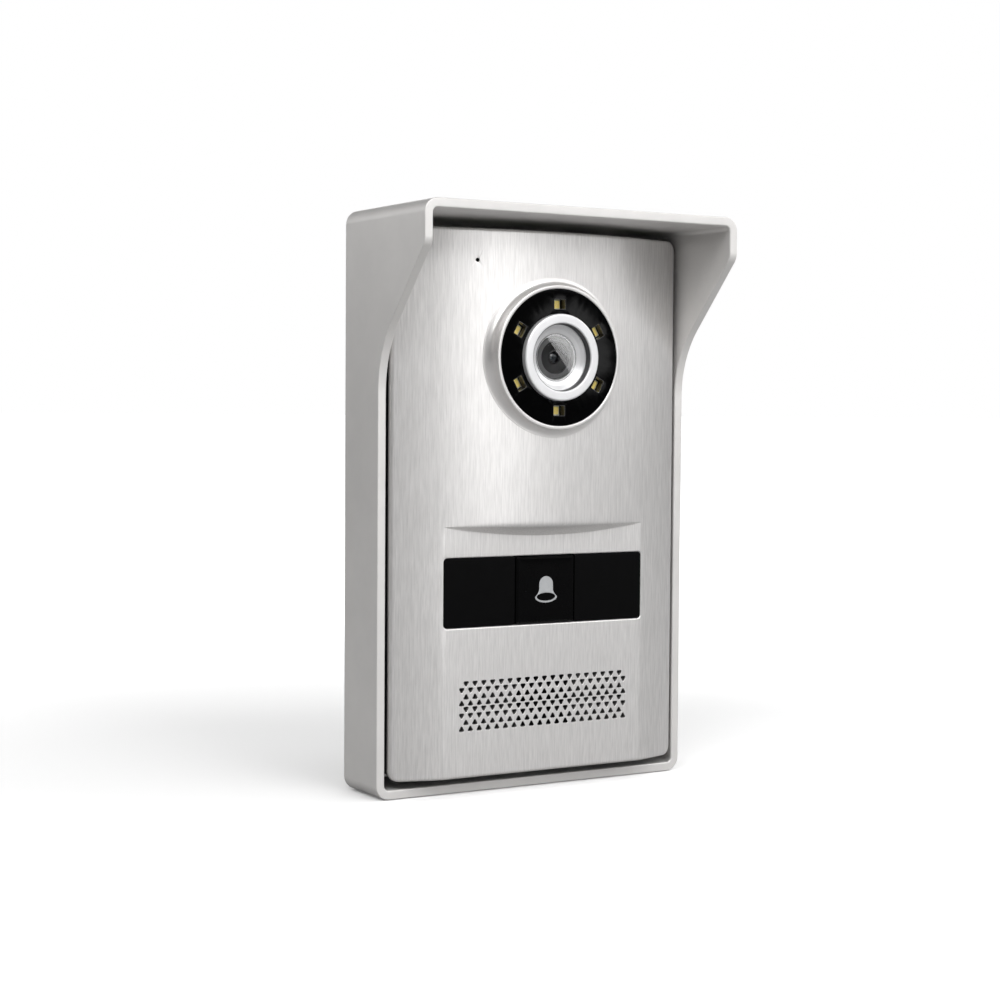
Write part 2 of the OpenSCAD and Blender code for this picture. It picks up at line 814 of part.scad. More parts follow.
module blank_plate(side) {
    inner = button_w / 2 + button_gap;
    outer = strip_w / 2 - plate_gap;
    slab(plate_back, plate_front) intersection() {
        rounded(2 * outer, strip_h - 2 * plate_gap, strip_corner - plate_gap, 0, strip_mid);
        rect(outer - inner, strip_h, side * (inner + outer) / 2, strip_mid);
    }
}

module left_plate() { color("#08090a") blank_plate(-1); }

module right_plate() { color("#08090a") blank_plate(1); }

module key_carrier() {
    color("#161617")
    difference() {
        intersection() {
            slab(carrier_back, plate_back)
                rounded(strip_w + 2 * carrier_over, strip_h + 2 * carrier_over, 2, 0, strip_mid);
            crown_bar(crown_r - panel_wall - fit, crown_depth - panel_wall - fit);
        }
        slab(carrier_back - through, plate_back + through)
            rect(button_w + 2 * button_gap, button_h + 2 * button_gap, 0, strip_mid);
    }
}

function ellipse(w, h, z, n = 40) =
    [for (i = [0 : n - 1]) [w / 2 * cos(i * 360 / n), z + h / 2 * sin(i * 360 / n)]];

// Bell shape: a domed body on a flared, open mouth
module bell_outline() {
    translate([0, bell_dome_z]) circle(r = bell_dome_r, $fn = small_fn);
    difference() {
        polygon([[-bell_dome_r, bell_dome_z], [-bell_dome_r, 0.3], [-bell_mouth_w / 2, bell_mouth_z],
            [bell_mouth_w / 2, bell_mouth_z], [bell_dome_r, 0.3], [bell_dome_r, bell_dome_z]]);
        for (s = [-1, 1])
            translate([s * (bell_dome_r + bell_flare_r), 0.3])
                circle(r = bell_flare_r, $fn = round_fn);
    }
    polygon(ellipse(bell_mouth_w, bell_mouth_h, bell_mouth_z));
}

module bell_mouth()
    polygon(ellipse(bell_mouth_w - 1.3, bell_mouth_h - 1.15, bell_mouth_z));

module bell_icon() {
    color("#c3c5c7")
    slab(button_front - icon_t, button_front) translate([0, strip_mid]) difference() {
        bell_outline();
        bell_mouth();
    }
}

module call_button() {
    color("#0a0a0b")
    difference() {
        union() {
            slab(flange_back, button_front) rect(button_w, button_h, 0, strip_mid);
            slab(flange_back, flange_front)
                rect(button_w + 2 * flange_over, button_h + 2 * flange_over, 0, strip_mid);
            bar(2, plunger_front + 0.1, flange_back + 0.5, 0, strip_mid);
        }
        slab(button_front - icon_t - fit, button_front + through) translate([0, strip_mid])
            difference() {
                bell_outline();
                bell_mouth();
            }
        for (s = [-1, 1])
            translate([0, -button_front, strip_mid + s * button_h / 2]) rotate([45, 0, 0])
                cube([button_w + 2, button_chamfer * 1.4142, button_chamfer * 1.4142], center = true);
    }
}

module button_switch() {
    color("#2a2b2d")
    difference() {
        block(switch_side, switch_side, board_front, switch_front, 0, strip_mid);
        bar(plunger_r + fit, board_front + 0.3, switch_front + through, 0, strip_mid);
    }
}

module switch_plunger() {
    color("#b0382e")
    bar(plunger_r, plunger_back, plunger_front, 0, strip_mid);
}

// ---- Speaker ----

module speaker_gasket() {
    color("#2e2f31")
    intersection() {
        slab(speaker_front, flat_back) difference() {
            rounded(gasket_w, gasket_h, 2, 0, grille_mid);
            translate([0, grille_mid]) circle(r = speaker_port, $fn = round_fn);
        }
        crown_bar(crown_r - panel_wall, crown_depth - panel_wall);
    }
}

module speaker_frame() {
    rear = speaker_front - speaker_rim;
    color("#3a3b3e")
    turned(0, grille_mid) polygon([[speaker_r - 2, rear], [magnet_r - 1, rear - basket_depth],
        [magnet_r - 1, magnet_front], [magnet_r, magnet_front],
        [speaker_r, rear - 1], [speaker_r, speaker_front], [speaker_r - 1.4, speaker_front],
        [speaker_r - 1.4, rear]]);
}

module speaker_cone() {
    rim = speaker_front - 1;
    color("#141415")
    turned(0, grille_mid) polygon([[0, rim - 1.6], [3.4, rim - 2.4], [speaker_r - 3.6, rim - 0.5],
        [speaker_r - 2.6, rim + 0.2], [speaker_r - 1.45, rim - 0.4], [speaker_r - 1.45, rim - 0.75],
        [speaker_r - 2.6, rim - 0.2], [speaker_r - 3.6, rim - 0.9], [3.4, rim - 2.8], [0, rim - 2]]);
}

module speaker_magnet() {
    color("#77797c")
    bar(magnet_r + 0.6, magnet_back, magnet_front, 0, grille_mid, round_fn);
}

// ---- Microphone ----

module mic_boot() {
    color("#1b1b1c")
    difference() {
        intersection() {
            bar(boot_r, boot_front - boot_len, crown_depth, -mic_x, mic_z);
            crown_bar(crown_r - panel_wall - fit, crown_depth - panel_wall - fit);
        }
        bar(capsule_r + fit, boot_front - boot_len - through,
            boot_front - boot_len + capsule_t + 1, -mic_x, mic_z);
        bar(mic_hole + 0.2, boot_front - boot_len, crown_depth, -mic_x, mic_z);
    }
}

module microphone() {
    color("#b8babc")
    bar(capsule_r, boot_front - boot_len + 0.9, boot_front - boot_len + 0.9 + capsule_t,
        -mic_x, mic_z);
}

rain_hood();
mounting_bracket();
bracket_screws();
retaining_screw();
cable_grommet();
front_panel();
panel_seal();
rear_housing();
housing_screws();
camera_bezel();
led_cover();
led_panes();
led_board();
led_emitters();
camera_ring();
lens_bowl();
lens_window();
lens_barrel();
lens_element();
lens_holder();
image_sensor();
camera_board();
left_plate();
right_plate();
key_carrier();
call_button();
bell_icon();
button_switch();
switch_plunger();
speaker_gasket();
speaker_frame();
speaker_cone();
speaker_magnet();
microphone();
mic_boot();
main_board();
terminal_block();
lock_relay();
capacitors();
processor_shield();
ribbon_cable();
ribbon_connectors();
board_screws();
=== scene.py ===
import json
import math

import bmesh
import bpy
from mathutils import Matrix, Vector
from mathutils.geometry import delaunay_2d_cdt


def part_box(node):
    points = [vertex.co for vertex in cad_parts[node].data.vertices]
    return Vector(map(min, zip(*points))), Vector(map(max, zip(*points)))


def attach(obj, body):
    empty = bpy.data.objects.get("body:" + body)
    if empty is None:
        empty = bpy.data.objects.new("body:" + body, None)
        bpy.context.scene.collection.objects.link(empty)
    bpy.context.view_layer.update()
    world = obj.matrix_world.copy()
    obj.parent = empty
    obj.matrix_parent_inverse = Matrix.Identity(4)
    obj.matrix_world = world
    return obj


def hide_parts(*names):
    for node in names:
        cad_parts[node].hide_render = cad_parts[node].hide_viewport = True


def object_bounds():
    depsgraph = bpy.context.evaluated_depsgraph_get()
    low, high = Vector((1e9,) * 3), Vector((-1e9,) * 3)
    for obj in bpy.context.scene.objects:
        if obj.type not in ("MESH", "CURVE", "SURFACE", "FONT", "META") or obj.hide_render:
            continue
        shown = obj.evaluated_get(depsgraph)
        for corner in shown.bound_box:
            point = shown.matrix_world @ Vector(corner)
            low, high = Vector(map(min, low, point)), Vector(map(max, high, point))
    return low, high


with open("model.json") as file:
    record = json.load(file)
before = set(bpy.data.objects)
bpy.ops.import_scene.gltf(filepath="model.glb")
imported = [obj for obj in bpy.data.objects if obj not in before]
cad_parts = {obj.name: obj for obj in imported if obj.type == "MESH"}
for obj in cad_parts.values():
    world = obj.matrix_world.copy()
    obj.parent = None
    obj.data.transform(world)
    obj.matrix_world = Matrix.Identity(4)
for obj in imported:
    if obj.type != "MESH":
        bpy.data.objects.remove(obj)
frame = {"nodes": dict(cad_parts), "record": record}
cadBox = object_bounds()
mm = 0.001


# ---- Outlines, seen from the front in millimetres: X right, Z up ----

def arcPoints(centre, radius, start, end, steps):
    return [(centre[0] + radius * math.cos(math.radians(start + (end - start) * i / steps)),
             centre[1] + radius * math.sin(math.radians(start + (end - start) * i / steps)))
            for i in range(steps + 1)]


def roundedLoop(width, height, radius, centre=(0, 0), inset=0, rises=(), runs=(), steps=8):
    # rises are extra heights along the upright sides, runs extra places along the level ones
    halfW, halfH = width / 2 - inset, height / 2 - inset
    corner = max(radius - inset, 0.02)
    cx, cz = centre
    up = [z for z in sorted(rises) if abs(z - cz) < height / 2 - radius - 0.01]
    along = [x for x in sorted(runs) if abs(x - cx) < width / 2 - radius - 0.01]
    midX, midZ = halfW - corner, halfH - corner
    loop = [(cx + halfW, z) for z in up]
    loop = arcPoints((cx + midX, cz - midZ), corner, -90, 0, steps) + loop
    loop += arcPoints((cx + midX, cz + midZ), corner, 0, 90, steps)
    loop += [(x, cz + halfH) for x in reversed(along)]
    loop += arcPoints((cx - midX, cz + midZ), corner, 90, 180, steps)
    loop += [(cx - halfW, z) for z in reversed(up)]
    loop += arcPoints((cx - midX, cz - midZ), corner, 180, 270, steps)
    loop += [(x, cz - halfH) for x in along]
    return loop


def circleLoop(radius, centre=(0, 0), inset=0, steps=96):
    return [(centre[0] + (radius - inset) * math.sin(2 * math.pi * i / steps),
             centre[1] + (radius - inset) * math.cos(2 * math.pi * i / steps))
            for i in range(steps)]


def turnedPoint(point, centre, angle):
    x, z = point[0] - centre[0], point[1] - centre[1]
    return (centre[0] + x * math.cos(angle) - z * math.sin(angle),
            centre[1] + x * math.sin(angle) + z * math.cos(angle))


def softProfile(corners, closed=True, steps=4):
    # Rounds a profile's corners; each corner is (a, b, radius)
    result = []
    count = len(corners)
    for i, (a, b, radius) in enumerate(corners):
        here = Vector((a, b))
        if radius <= 0 or (not closed and i in (0, count - 1)):
            result.append((a, b))
            continue
        before = Vector(corners[i - 1][:2]) - here
        after = Vector(corners[(i + 1) % count][:2]) - here
        half = before.angle(after) / 2
        reach = min(radius / math.tan(half), 0.49 * before.length, 0.49 * after.length)
        radius = reach * math.tan(half)
        middle = here + (before.normalized() + after.normalized()).normalized() * (radius / math.sin(half))
        start = here + before.normalized() * reach - middle
        end = here + after.normalized() * reach - middle
        sweep = start.angle_signed(end)
        for k in range(steps + 1):
            turn = Matrix.Rotation(-sweep * k / steps, 2)
            result.append(tuple(middle + turn @ start))
    return result


# ---- Mesh work ----

def at(x, depth, z):
    return (x * mm, -depth * mm, z * mm)   # depth is the distance in front of the wall


class Shell:
    # Points and faces of one closed piece, in millimetres until it is built
    def __init__(self):
        self.points = []
        self.faces = []

    def ring(self, loop, depth):
        # depth is one number, or a function of x and z
        first = len(self.points)
        for x, z in loop:
            self.points.append((x, depth(x, z) if callable(depth) else depth, z))
        return list(range(first, len(self.points)))

    def strip(self, one, two):
        count = len(one)
        for i in range(count):
            j = (i + 1) % count
            self.faces.append((one[i], one[j], two[j], two[i]))

    def rings(self, stack):
        # Joins (loop, depth) pairs in turn and returns the first and last ring
        made = [self.ring(loop, depth) for loop, depth in stack]
        for one, two in zip(made, made[1:]):
            self.strip(one, two)
        return made[0], made[-1]

    def closedRings(self, stack):
        # The same with the last ring joined to the first
        made = [self.ring(loop, depth) for loop, depth in stack]
        for one, two in zip(made, made[1:] + made[:1]):
            self.strip(one, two)

    def cap(self, ring):
        self.faces.append(tuple(ring))

    def fill(self, outer, holes, depth=None, stops=()):
        # Triangles between an outer ring and its holes, through extra stops where the depth is known
        ids, edges = [], []
        for ring in [outer] + holes:
            base = len(ids)
            ids += ring
            edges += [(base + i, base + (i + 1) % len(ring)) for i in range(len(ring))]
        flat = [Vector((self.points[i][0], self.points[i][2])) for i in ids]
        flat += [Vector(p) for p in stops]
        verts, _, faces, sources, _, _ = delaunay_2d_cdt(flat, edges, [], 0, 1e-5, True)
        place = []
        for v, source in zip(verts, sources):
            kept = [s for s in source if s < len(ids)]
            if kept:
                place.append(ids[kept[0]])
            else:
                self.points.append((v.x, depth(v.x, v.y), v.y))
                place.append(len(self.points) - 1)
        border = [[(self.points[i][0], self.points[i][2]) for i in ring] for ring in [outer] + holes]
        for face in faces:
            mid = sum((verts[i] for i in face), Vector((0, 0))) / len(face)
            if isInside(mid, border[0]) and not any(isInside(mid, b) for b in border[1:]):
                self.faces.append(tuple(place[i] for i in face))

    def build(self, name, sharp=30):
        mesh = bpy.data.meshes.new(name)
        mesh.from_pydata([at(*p) for p in self.points], [], self.faces)
        return finishMesh(name, mesh, sharp)


def isInside(point, border):
    inside = False
    px, pz = point
    for (ax, az), (bx, bz) in zip(border, border[1:] + border[:1]):
        if (az > pz) != (bz > pz) and px < ax + (bx - ax) * (pz - az) / (bz - az):
            inside = not inside
    return inside


def finishMesh(name, mesh, sharp=30):
    work = bmesh.new()
    work.from_mesh(mesh)
    bmesh.ops.remove_doubles(work, verts=work.verts, dist=0.002 * mm)
    bmesh.ops.dissolve_degenerate(work, edges=work.edges, dist=0.001 * mm)
    bmesh.ops.recalc_face_normals(work, faces=work.faces)
    work.to_mesh(mesh)
    work.free()
    mesh.shade_smooth()
    mesh.set_sharp_from_angle(angle=math.radians(sharp))
    piece = bpy.data.objects.new(name, mesh)
    bpy.context.scene.collection.objects.link(piece)
    return piece


def settled(piece):
    # The evaluated mesh takes the modifiers' place
    graph = bpy.context.evaluated_depsgraph_get()
    mesh = bpy.data.meshes.new_from_object(piece.evaluated_get(graph))
    piece.modifiers.clear()
    piece.data = mesh
    return piece


def evenShading(piece):
    # Large faces keep their own direction, so that small round edges don't tint them
    modifier = piece.modifiers.new("evenShading", "WEIGHTED_NORMAL")
    modifier.keep_sharp = True
    modifier.weight = 80
    return settled(piece)


def latheShell(profile, centre=(0, 0), steps=96, closed=True):
    # Turns (radius, depth) points about the line straight out of the wall
    shell = Shell()
    rings = []
    for radius, depth in profile:
        if radius < 0.001:
            shell.points.append((centre[0], depth, centre[1]))
            rings.append([len(shell.points) - 1] * steps)
        else:
            rings.append(shell.ring(circleLoop(radius, centre, steps=steps), depth))
    pairs = list(zip(rings, rings[1:])) + ([(rings[-1], rings[0])] if closed else [])
    for one, two in pairs:
        for i in range(steps):
            j = (i + 1) % steps
            face = []
            for k in (one[i], one[j], two[j], two[i]):
                if k not in face:
                    face.append(k)
            if len(face) > 2:
                shell.faces.append(tuple(face))
    return shell


def softBlock(width, height, back, front, centre=(0, 0), corner=0.5, edge=0.2, backEdge=0.05, steps=6):
    # A block with round corners and round edges towards the front
    def loop(inset):
        return roundedLoop(width, height, corner, centre, inset, steps=steps)
    arc = [(edge * (1 - math.cos(math.radians(t))), edge * (1 - math.sin(math.radians(t))))
           for t in (0, 22.5, 45, 67.5, 90)]
    shell = Shell()
    stack = [(loop(backEdge), back), (loop(0), back + backEdge)]
    stack += [(loop(inset), front - drop) for inset, drop in arc]
    first, last = shell.rings(stack)
    shell.cap(first)
    shell.cap(last)
    return shell


def cutBy(piece, *cutters):
    for cutter in cutters:
        modifier = piece.modifiers.new("cut", "BOOLEAN")
        modifier.operation = "DIFFERENCE"
        modifier.solver = "EXACT"
        modifier.object = cutter
    settled(piece)
    for cutter in cutters:
        bpy.data.objects.remove(cutter)
    return piece


def sharpened(piece, sharp=30):
    piece.data.shade_smooth()
    piece.data.set_sharp_from_angle(angle=math.radians(sharp))
    return piece


def dress(piece, material, body, slotName, *nodes):
    # Gives a finished piece its material and body, and hides the CAD nodes that it stands for; slotName is
    # not used
    piece.data.materials.clear()
    piece.data.materials.append(material)
    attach(piece, body)
    if nodes:
        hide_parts(*nodes)
    return piece


# ---- Materials: node setups on Object coordinates ----

def surface(name, colour, other=None, roughness=0.5, roughSpread=0.0, metallic=0.0, scale=60,
            stretch=(1, 1, 1), detail=4.0, bump=0.0, grain=0.02, grainScale=900, coat=0.0,
            ior=1.5, transmission=0.0, glow=0.0, specular=0.5, contrast=0.3):
    # Two tones mixed by stretched noise, with roughness and bump from the same grain
    material = bpy.data.materials.new(name)
    material.use_nodes = True
    tree = material.node_tree
    nodes, links = tree.nodes, tree.links
    shader = nodes["Principled BSDF"]
    shader.inputs["Metallic"].default_value = metallic
    shader.inputs["IOR"].default_value = ior
    shader.inputs["Transmission Weight"].default_value = transmission
    shader.inputs["Coat Weight"].default_value = coat
    shader.inputs["Coat Roughness"].default_value = 0.05
    shader.inputs["Specular IOR Level"].default_value = specular
    place = nodes.new("ShaderNodeTexCoord")
    mapping = nodes.new("ShaderNodeMapping")
    mapping.inputs["Scale"].default_value = stretch
    links.new(place.outputs["Object"], mapping.inputs["Vector"])
    broad = noiseNode(nodes, scale, detail)
    fine = noiseNode(nodes, grainScale, 3.0)
    links.new(mapping.outputs["Vector"], broad.inputs["Vector"])
    links.new(mapping.outputs["Vector"], fine.inputs["Vector"])
    mix = nodes.new("ShaderNodeMix")
    mix.data_type = "RGBA"
    mix.inputs["A"].default_value = (*colour, 1)
    mix.inputs["B"].default_value = (*(other or [c * 0.9 for c in colour]), 1)
    tones = rangeNode(nodes, 0.5 - contrast, 0.5 + contrast, 0, 1)
    links.new(broad.outputs["Fac"], tones.inputs["Value"])
    links.new(tones.outputs["Result"], mix.inputs["Factor"])
    links.new(mix.outputs["Result"], shader.inputs["Base Color"])
    if glow:
        links.new(mix.outputs["Result"], shader.inputs["Emission Color"])
        shader.inputs["Emission Strength"].default_value = glow
    spread = rangeNode(nodes, 0, 1, max(roughness - roughSpread, 0.0), min(roughness + roughSpread, 1.0))
    links.new(fine.outputs["Fac"], spread.inputs["Value"])
    links.new(spread.outputs["Result"], shader.inputs["Roughness"])
    if bump:
        relief = nodes.new("ShaderNodeBump")
        relief.inputs["Strength"].default_value = bump
        relief.inputs["Distance"].default_value = grain * mm
        links.new(fine.outputs["Fac"], relief.inputs["Height"])
        links.new(relief.outputs["Normal"], shader.inputs["Normal"])
    return material


def rangeNode(nodes, *ends):
    # ends are the low and high input, then the low and high output
    node = nodes.new("ShaderNodeMapRange")
    for label, value in zip(("From Min", "From Max", "To Min", "To Max"), ends):
        node.inputs[label].default_value = value
    return node


def noiseNode(nodes, scale, detail):
    noise = nodes.new("ShaderNodeTexNoise")
    noise.inputs["Scale"].default_value = scale
    noise.inputs["Detail"].default_value = detail
    noise.inputs["Roughness"].default_value = 0.6
    return noise


hoodSilver = surface("hoodSilver", (0.74, 0.725, 0.71), (0.68, 0.668, 0.655), roughness=0.4, roughSpread=0.06,
                     metallic=0.35, scale=45, bump=0.3, grain=0.015, grainScale=3000, contrast=0.2)
brushedAluminium = surface("brushedAluminium", (0.85, 0.835, 0.825), (0.68, 0.668, 0.66), roughness=0.38,
                           roughSpread=0.1, metallic=0.8, scale=2300, stretch=(1, 1, 0.06), detail=6,
                           bump=0.5, grain=0.03, grainScale=3400, contrast=0.2)
satinSilver = surface("satinSilver", (0.8, 0.785, 0.775), roughness=0.34, roughSpread=0.05, metallic=0.7,
                      scale=200, bump=0.1, grain=0.01, grainScale=4000)
glossBlack = surface("glossBlack", (0.0012, 0.0012, 0.0013), (0.002, 0.002, 0.0022), roughness=0.06,
                     roughSpread=0.04, scale=300, bump=0.05, grain=0.004, grainScale=1200, specular=0.07)
clearPane = surface("clearPane", (0.9, 0.9, 0.88), roughness=0.05, transmission=1.0, ior=1.05)
ledWhite = surface("ledWhite", (0.75, 0.74, 0.68), roughness=0.5, scale=500)
# The phosphor's glow is painted light that brightens the pads; the LEDs are not lit
phosphor = surface("phosphor", (0.9, 0.68, 0.13), (0.95, 0.8, 0.33), roughness=0.4, scale=1500, glow=0.3)
boardBlack = surface("boardBlack", (0.012, 0.012, 0.013), roughness=0.6, scale=400)
ringSilver = surface("ringSilver", (0.86, 0.86, 0.87), roughness=0.36, roughSpread=0.05, metallic=0.5,
                     scale=200, bump=0.1, grain=0.008, grainScale=4000)
bowlSilver = surface("bowlSilver", (0.78, 0.78, 0.79), roughness=0.35, roughSpread=0.05, metallic=0.5,
                     scale=200)
clearGlass = surface("clearGlass", (0.95, 0.95, 0.95), roughness=0.01, transmission=1.0, ior=1.5)
# A lighter grey copy of the lens black: painted light for the barrel's front ring
lensPaintedLightGrey = surface("lensPaintedLightGrey", (0.2, 0.2, 0.203), roughness=0.45, roughSpread=0.05, scale=400)
lensBlack = surface("lensBlack", (0.012, 0.012, 0.013), roughness=0.4, roughSpread=0.05, scale=400)
# Dark grey painted shading for the LED windows' walls and painted shade for the camera ring's bore
paintedShadingGrey = surface("paintedShadingGrey", (0.055, 0.055, 0.057), (0.045, 0.045, 0.047), roughness=0.5, roughSpread=0.1,
                    scale=900)
coatedGlass = surface("coatedGlass", (0.02, 0.03, 0.04), roughness=0.05, coat=1.0, scale=900)
iconSilver = surface("iconSilver", (0.46, 0.47, 0.48), (0.4, 0.41, 0.42), roughness=0.4, metallic=0.2,
                     scale=800)
# Painted shade for the inside of holes: near black, and a lighter grey
holeShade = surface("holeShade", (0.02, 0.02, 0.02), (0.03, 0.03, 0.03), roughness=0.6, scale=900,
                    specular=0.2)
holeShadeGrey = surface("holeShadeGrey", (0.17, 0.168, 0.165), (0.13, 0.128, 0.125), roughness=0.6, scale=900,
                   specular=0.2)
buttonGloss = surface("buttonGloss", (0.0012, 0.0012, 0.0013), (0.002, 0.002, 0.0022), roughness=0.08,
                      roughSpread=0.04, scale=300, bump=0.05, grain=0.004, grainScale=1200, specular=0.05)
screwSteel = surface("screwSteel", (0.6, 0.6, 0.61), (0.5, 0.5, 0.51), roughness=0.32, roughSpread=0.08,
                     metallic=0.95, scale=600, bump=0.1)
blackRubber = surface("blackRubber", (0.012, 0.012, 0.012), roughness=0.7, scale=500, bump=0.3)


# ---- Repeats: node trees for what stands in rows, grids and rings ----

def newTree(name, sockets):
    tree = bpy.data.node_groups.new(name, "GeometryNodeTree")
    tree.interface.new_socket("Geometry", in_out="OUTPUT", socket_type="NodeSocketGeometry")
    keys = {}
    for label, kind in sockets:
        keys[label] = tree.interface.new_socket(label, in_out="INPUT", socket_type=kind).identifier
    return tree, keys


def sums(tree, operation, *inputs):
    node = tree.nodes.new("ShaderNodeMath")
    node.operation = operation
    for socket, value in zip(node.inputs, inputs):
        if isinstance(value, (int, float)):
            socket.default_value = value
        else:
            tree.links.new(value, socket)
    return node.outputs[0]


def endTree(tree, group, points, turn):
    # Instances the part on the points, moves the set to its centre and makes it real
    links, nodes = tree.links, tree.nodes
    info = nodes.new("GeometryNodeObjectInfo")
    info.inputs["As Instance"].default_value = True
    links.new(group.outputs["Part"], info.inputs["Object"])
    stand = nodes.new("GeometryNodeInstanceOnPoints")
    links.new(points, stand.inputs["Points"])
    links.new(info.outputs["Geometry"], stand.inputs["Instance"])
    if turn is not None:
        euler = nodes.new("FunctionNodeEulerToRotation")
        spin = nodes.new("ShaderNodeCombineXYZ")
        links.new(turn, spin.inputs["Y"])
        links.new(spin.outputs[0], euler.inputs[0])
        links.new(euler.outputs[0], stand.inputs["Rotation"])
    move = nodes.new("GeometryNodeTransform")
    links.new(stand.outputs["Instances"], move.inputs["Geometry"])
    links.new(group.outputs["Centre"], move.inputs["Translation"])
    real = nodes.new("GeometryNodeRealizeInstances")
    links.new(move.outputs["Geometry"], real.inputs["Geometry"])
    paint = nodes.new("GeometryNodeSetMaterial")
    links.new(real.outputs["Geometry"], paint.inputs["Geometry"])
    links.new(group.outputs["Finish"], paint.inputs["Material"])
    end = nodes.new("NodeGroupOutput")
    links.new(paint.outputs["Geometry"], end.inputs["Geometry"])


sharedSockets = [("Part", "NodeSocketObject"), ("Centre", "NodeSocketVector"),
                 ("Finish", "NodeSocketMaterial")]


def rowTree():
    # Staggered rows: every other row is one shorter, and rows point down, up, down in pairs
    tree, keys = newTree("staggeredRows", [("Columns", "NodeSocketInt"), ("Rows", "NodeSocketInt"),
                         ("Pitch", "NodeSocketFloat"), ("Row Height", "NodeSocketFloat"),
                         ("Nudge", "NodeSocketFloat")] + sharedSockets)
    nodes, links = tree.nodes, tree.links
    group = nodes.new("NodeGroupInput")
    columns, rows = group.outputs["Columns"], group.outputs["Rows"]
    line = nodes.new("GeometryNodeMeshLine")
    links.new(sums(tree, "MULTIPLY", columns, rows), line.inputs["Count"])
    index = nodes.new("GeometryNodeInputIndex").outputs[0]
    row = sums(tree, "FLOOR", sums(tree, "DIVIDE", sums(tree, "ADD", index, 0.5), columns))
    column = sums(tree, "SUBTRACT", index, sums(tree, "MULTIPLY", row, columns))
    odd = sums(tree, "MODULO", row, 2.0)
    down = sums(tree, "SUBTRACT", 1.0, sums(tree, "MODULO",
                sums(tree, "FLOOR", sums(tree, "DIVIDE", row, 2.0)), 2.0))
    last = sums(tree, "DIVIDE", sums(tree, "ADD", sums(tree, "SUBTRACT", columns, 2.0), odd), 2.0)
    across = sums(tree, "MULTIPLY", sums(tree, "SUBTRACT", column, last), group.outputs["Pitch"])
    middle = sums(tree, "DIVIDE", sums(tree, "SUBTRACT", rows, 1.0), 2.0)
    height = sums(tree, "MULTIPLY", sums(tree, "SUBTRACT", middle, row), group.outputs["Row Height"])
    sign = sums(tree, "SUBTRACT", sums(tree, "MULTIPLY", down, 2.0), 1.0)
    height = sums(tree, "ADD", height, sums(tree, "MULTIPLY", sign, group.outputs["Nudge"]))
    spot = nodes.new("ShaderNodeCombineXYZ")
    links.new(across, spot.inputs["X"])
    links.new(height, spot.inputs["Z"])
    shift = nodes.new("GeometryNodeSetPosition")
    links.new(line.outputs["Mesh"], shift.inputs["Geometry"])
    links.new(spot.outputs[0], shift.inputs["Position"])
    beyond = sums(tree, "GREATER_THAN", column, sums(tree, "ADD", sums(tree, "SUBTRACT", columns, 1.5), odd))
    drop = nodes.new("GeometryNodeDeleteGeometry")
    links.new(beyond, drop.inputs["Selection"])
    store = nodes.new("GeometryNodeStoreNamedAttribute")   # the turn is kept before points are dropped
    store.data_type = "FLOAT"
    store.inputs["Name"].default_value = "turn"
    links.new(shift.outputs["Geometry"], store.inputs["Geometry"])
    links.new(sums(tree, "MULTIPLY", down, math.pi), store.inputs["Value"])
    links.new(store.outputs["Geometry"], drop.inputs["Geometry"])
    turn = nodes.new("GeometryNodeInputNamedAttribute")
    turn.data_type = "FLOAT"
    turn.inputs["Name"].default_value = "turn"
    endTree(tree, group, drop.outputs["Geometry"], turn.outputs["Attribute"])
    return tree, keys


def ringTree():
    # Parts on a circle, each turned with its own angle, the first one at the top
    tree, keys = newTree("partsOnRing", [("Count", "NodeSocketInt"), ("Radius", "NodeSocketFloat")]
                         + sharedSockets)
    nodes, links = tree.nodes, tree.links
    group = nodes.new("NodeGroupInput")
    line = nodes.new("GeometryNodeMeshLine")
    links.new(group.outputs["Count"], line.inputs["Count"])
    index = nodes.new("GeometryNodeInputIndex").outputs[0]
    angle = sums(tree, "DIVIDE", sums(tree, "MULTIPLY", index, 2 * math.pi), group.outputs["Count"])
    spot = nodes.new("ShaderNodeCombineXYZ")
    links.new(sums(tree, "MULTIPLY", sums(tree, "SINE", angle), group.outputs["Radius"]), spot.inputs["X"])
    links.new(sums(tree, "MULTIPLY", sums(tree, "COSINE", angle), group.outputs["Radius"]), spot.inputs["Z"])
    shift = nodes.new("GeometryNodeSetPosition")
    links.new(line.outputs["Mesh"], shift.inputs["Geometry"])
    links.new(spot.outputs[0], shift.inputs["Position"])
    endTree(tree, group, shift.outputs["Geometry"], angle)
    return tree, keys


def gridTree():
    # Parts on the crossings of an upright grid
    tree, keys = newTree("partsOnGrid", [("Columns", "NodeSocketInt"), ("Rows", "NodeSocketInt"),
                         ("Width", "NodeSocketFloat"), ("Height", "NodeSocketFloat")] + sharedSockets)
    nodes, links = tree.nodes, tree.links
    group = nodes.new("NodeGroupInput")
    grid = nodes.new("GeometryNodeMeshGrid")
    for label, socket in (("Columns", "Vertices X"), ("Rows", "Vertices Y"),
                          ("Width", "Size X"), ("Height", "Size Y")):
        links.new(group.outputs[label], grid.inputs[socket])
    upright = nodes.new("GeometryNodeTransform")
    upright.inputs["Rotation"].default_value = (math.radians(90), 0, 0)
    links.new(grid.outputs["Mesh"], upright.inputs["Geometry"])
    endTree(tree, group, upright.outputs["Geometry"], None)
    return tree, keys


def repeated(name, treeAndKeys, part, centre, finish, **values):
    # One plain mesh with every copy of the part in it; the part itself goes
    tree, keys = treeAndKeys
    holder = bpy.data.objects.new(name, bpy.data.meshes.new(name))
    bpy.context.scene.collection.objects.link(holder)
    modifier = holder.modifiers.new("copies", "NODES")
    modifier.node_group = tree
    for label, value in values.items():
        modifier[keys[label]] = value
    modifier[keys["Part"]] = part
    modifier[keys["Centre"]] = centre
    modifier[keys["Finish"]] = finish
    settled(holder)
    bpy.data.objects.remove(part)
    return holder


# ---- Rain hood ----

